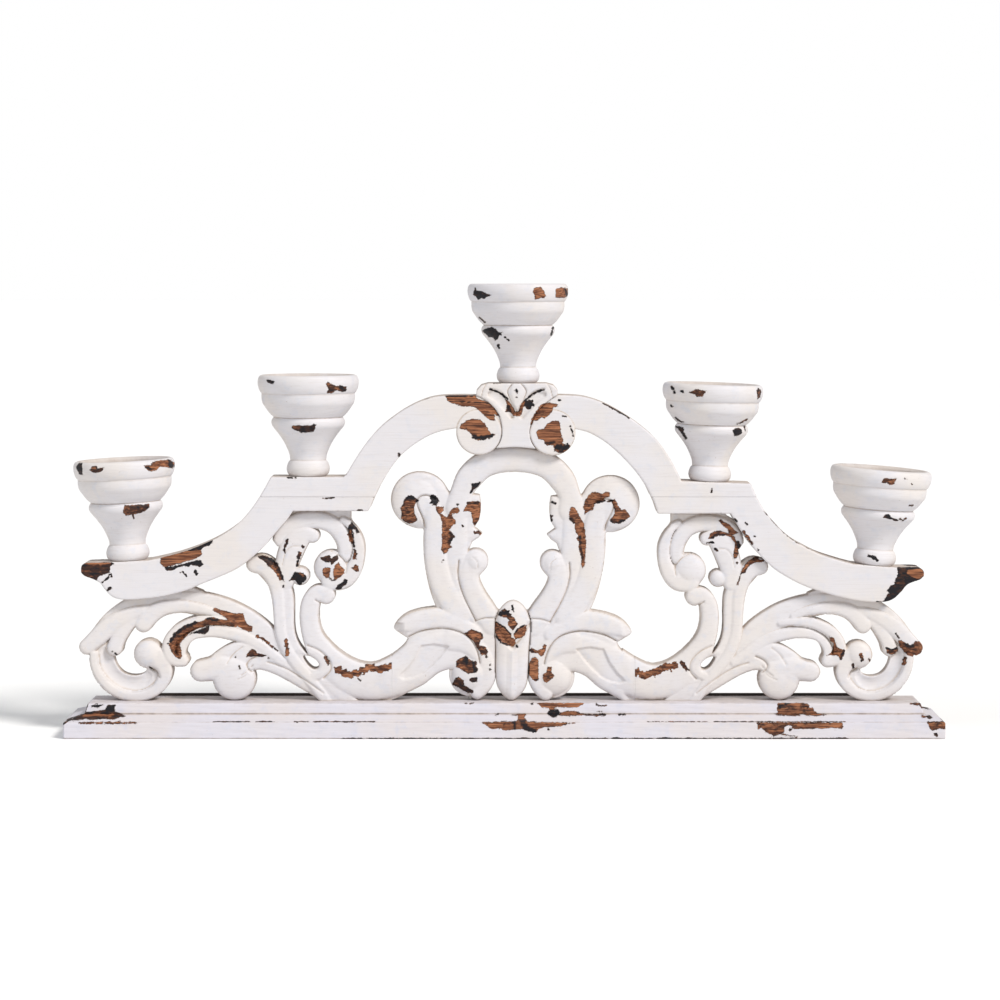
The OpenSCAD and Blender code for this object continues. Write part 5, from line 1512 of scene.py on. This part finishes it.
def lower_board(name):
    """A square edge below a shallow slope."""
    face = [(0, 2 + 1.2 * k) for k in range(12)]
    slope = [(1.8 + 1.5 * k, 17.1 + 0.45 * k) for k in range(11)]
    profile = ([(40, 0), (2, 0), (0.7, 0.25), (0.15, 0.9)] + face + [(0.2, 16.1), (0.8, 16.7)] + slope
               + [(18.5, 22.1), (24, 22.15), (40, 22.15)])
    # painted shade and dirt under the bottom edge and where the slope meets the fascia
    grime = [0.5, 0.6, 0.5, 0.3] + [0] * 14 + [0.05] * 9 + [0.2, 0.4, 0.95, 0.9, 0.5]
    proud = [0, 0.2, 0.9, 0.9, 0.2] + [0] * 10 + [0.2, 0.7, 0.8, 0.5] + [0] * 13
    return moulded_board(name, BASE_LEN / 2, BASE_DEP / 2, profile, grime, proud)


def upper_board(name):
    """A leaning fascia with a rounded top edge."""
    slant = FASCIA_LEAN / FASCIA_H
    rise = [0, 0.5, 1.2, 2.2, 3.3, 4.4, 5.5, 6.6, 7.7, 8.8]
    profile = [(28, LOWER_H)] + [(slant * h, LOWER_H + h) for h in rise]
    profile += [(slant * 9.6 + 0.2, BASE_H - 0.65), (FASCIA_LEAN + 0.9, BASE_H - 0.15),
                (FASCIA_LEAN + 2, BASE_H), (6, BASE_H), (9, BASE_H), (12, BASE_H), (15.5, BASE_H),
                (18, BASE_H), (22, BASE_H), (28, BASE_H)]
    # painted shade and dirt at the fascia's foot and over the top
    grime = [0.5, 0.9, 0.7, 0.3, 0.1] + [0] * 7 + [0.05, 0.3] + [0.45] * 6 + [0.6]
    proud = [0] * 10 + [0.15, 0.7, 0.8, 0.4] + [0] * 7
    return moulded_board(name, BASE_LEN / 2 - SLOPE_RUN, BASE_DEP / 2 - SLOPE_RUN, profile, grime, proud)


# ---- putting it together ----
# Each scroll panel has the other one's worn places on its back
SCROLLS = ["scroll_left", "scroll_right"]
settle(lower_board("plinth_lower_board"), "base_lower_board", "plinth", ["plinth"])
settle(upper_board("plinth_upper_board"), "base_upper_board", "plinth", ["plinth"])
settle(scroll_panel("scroll_carving_left", False), "scroll_panel_left", "carving", SCROLLS)
settle(scroll_panel("scroll_carving_right", True), "scroll_panel_right", "carving", SCROLLS)
settle(lyre_panel("lyre_carving"), "lyre_panel", "carving", ["lyre"])
settle(crest_leaf("crest_leaf_carving"), "crest_leaf", "carving", ["crest"])
settle(board("rail_arm_left", arm_outline(False), -1), "arm_board_left", "rail", ["rail"])
settle(board("rail_arm_right", arm_outline(True), -1), "arm_board_right", "rail", ["rail"])
settle(board("rail_arch_left", arch_outline(False), 1, DISCS[0]), "arch_board_left", "rail", ["rail"])
settle(board("rail_arch_right", arch_outline(True), 1, DISCS[1]), "arch_board_right", "rail", ["rail"])
settle(keystone("rail_keystone"), "keystone", "rail", ["keystone", "rail"])
for index, cup in enumerate(CUPS):
    turned_cup = candle_cup(f"turned_cup_{index + 1}", cup, 1.7 * index)
    settle(turned_cup, f"candle_cup_{index + 1}", "cup", ["cups"])

# The nodes that keep their own shape and only get a material
NODE_MATERIALS = {
    "cup_screws": steel("screw_steel"),
    # the rear batten is stained near black so that it stands for the dark line of shade along the back of
    # the plinth top: painted shade
    "rear_batten": bare_wood("batten_painted_shade", (0.06, 0.042, 0.034), (0.022, 0.016, 0.014), 4.0,
                             (30.0, 1.2, 1.2)),
    "rail_dowels": bare_wood("dowel_wood", (0.50, 0.34, 0.20), (0.33, 0.20, 0.11), 8.0,
                             (1.2, 1.2, 22.0)),
}
NODE_MATERIALS["base_screws"] = NODE_MATERIALS["cup_screws"]
NODE_MATERIALS["arch_dowels"] = NODE_MATERIALS["rail_dowels"]
NODE_MATERIALS["scroll_dowels"] = NODE_MATERIALS["rail_dowels"]
for node_name, material in NODE_MATERIALS.items():
    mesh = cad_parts[node_name].data
    mesh.materials.clear()
    mesh.materials.append(material)


# ---- floor, light and camera ----
def pale_floor():
    """A wide white ground."""
    half = 60.0
    corners = [(-half, -half, 0), (half, -half, 0), (half, half, 0), (-half, half, 0)]
    mesh = bpy.data.meshes.new("floor")
    mesh.from_pydata(corners, [], [(0, 1, 2, 3)])
    floor = bpy.data.objects.new("floor", mesh)
    bpy.context.scene.collection.objects.link(floor)
    sh = Shader("floor_white")
    cloud = sh.step(sh.noise(900.0, 2.0, 0.5, 5), 0.3, 0.7)
    tint = sh.mix(cloud, (0.94, 0.94, 0.94), (0.95, 0.95, 0.95))
    sh.feed(sh.surface.inputs["Base Color"], tint)
    sh.surface.inputs["Roughness"].default_value = 0.9
    mesh.materials.append(sh.material)


def sun(name, toward, strength, spread, colour):
    """A distant soft light that shines from the given direction."""
    light = bpy.data.lights.new(name, "SUN")
    light.energy = strength
    light.angle = math.radians(spread)
    light.color = colour
    obj = bpy.data.objects.new(name, light)
    obj.rotation_euler = Vector(toward).to_track_quat("Z", "Y").to_euler()
    obj.location = Vector(toward)
    bpy.context.scene.collection.objects.link(obj)


def studio():
    """White surroundings that light the object softly, a key from the right and a faint cool fill."""
    world = bpy.data.worlds.new("studio_white")
    world.use_nodes = True
    tree = world.node_tree
    soft = tree.nodes["Background"]
    soft.inputs["Color"].default_value = (1.0, 1.0, 1.0, 1.0)
    soft.inputs["Strength"].default_value = 0.50
    seen = tree.nodes.new("ShaderNodeBackground")
    seen.inputs["Strength"].default_value = 1.0
    seen.inputs["Color"].default_value = (1.0, 1.0, 1.0, 1.0)
    either = tree.nodes.new("ShaderNodeMixShader")
    path = tree.nodes.new("ShaderNodeLightPath")
    tree.links.new(path.outputs["Is Camera Ray"], either.inputs[0])
    tree.links.new(soft.outputs[0], either.inputs[1])
    tree.links.new(seen.outputs[0], either.inputs[2])
    tree.links.new(either.outputs[0], tree.nodes["World Output"].inputs["Surface"])
    bpy.context.scene.world = world
    sun("key_light", (0.80, -0.72, 1.0), 2.7, 16, (1.0, 0.975, 0.94))
    sun("fill_light", (-0.9, -0.5, 0.6), 0.45, 40, (0.80, 0.88, 1.0))
    bpy.context.scene.view_settings.view_transform = "Standard"


def camera():
    """A level long lens from the front."""
    data = bpy.data.cameras.new("camera")
    data.sensor_width = 36.0
    data.lens = 108.0
    data.shift_x = -0.00425
    data.shift_y = -0.22
    eye = bpy.data.objects.new("camera", data)
    eye.location = (0.0, -3.0, 0.4517)
    eye.rotation_euler = (math.radians(90), 0.0, 0.0)
    bpy.context.scene.collection.objects.link(eye)
    bpy.context.scene.camera = eye


pale_floor()
studio()
camera()
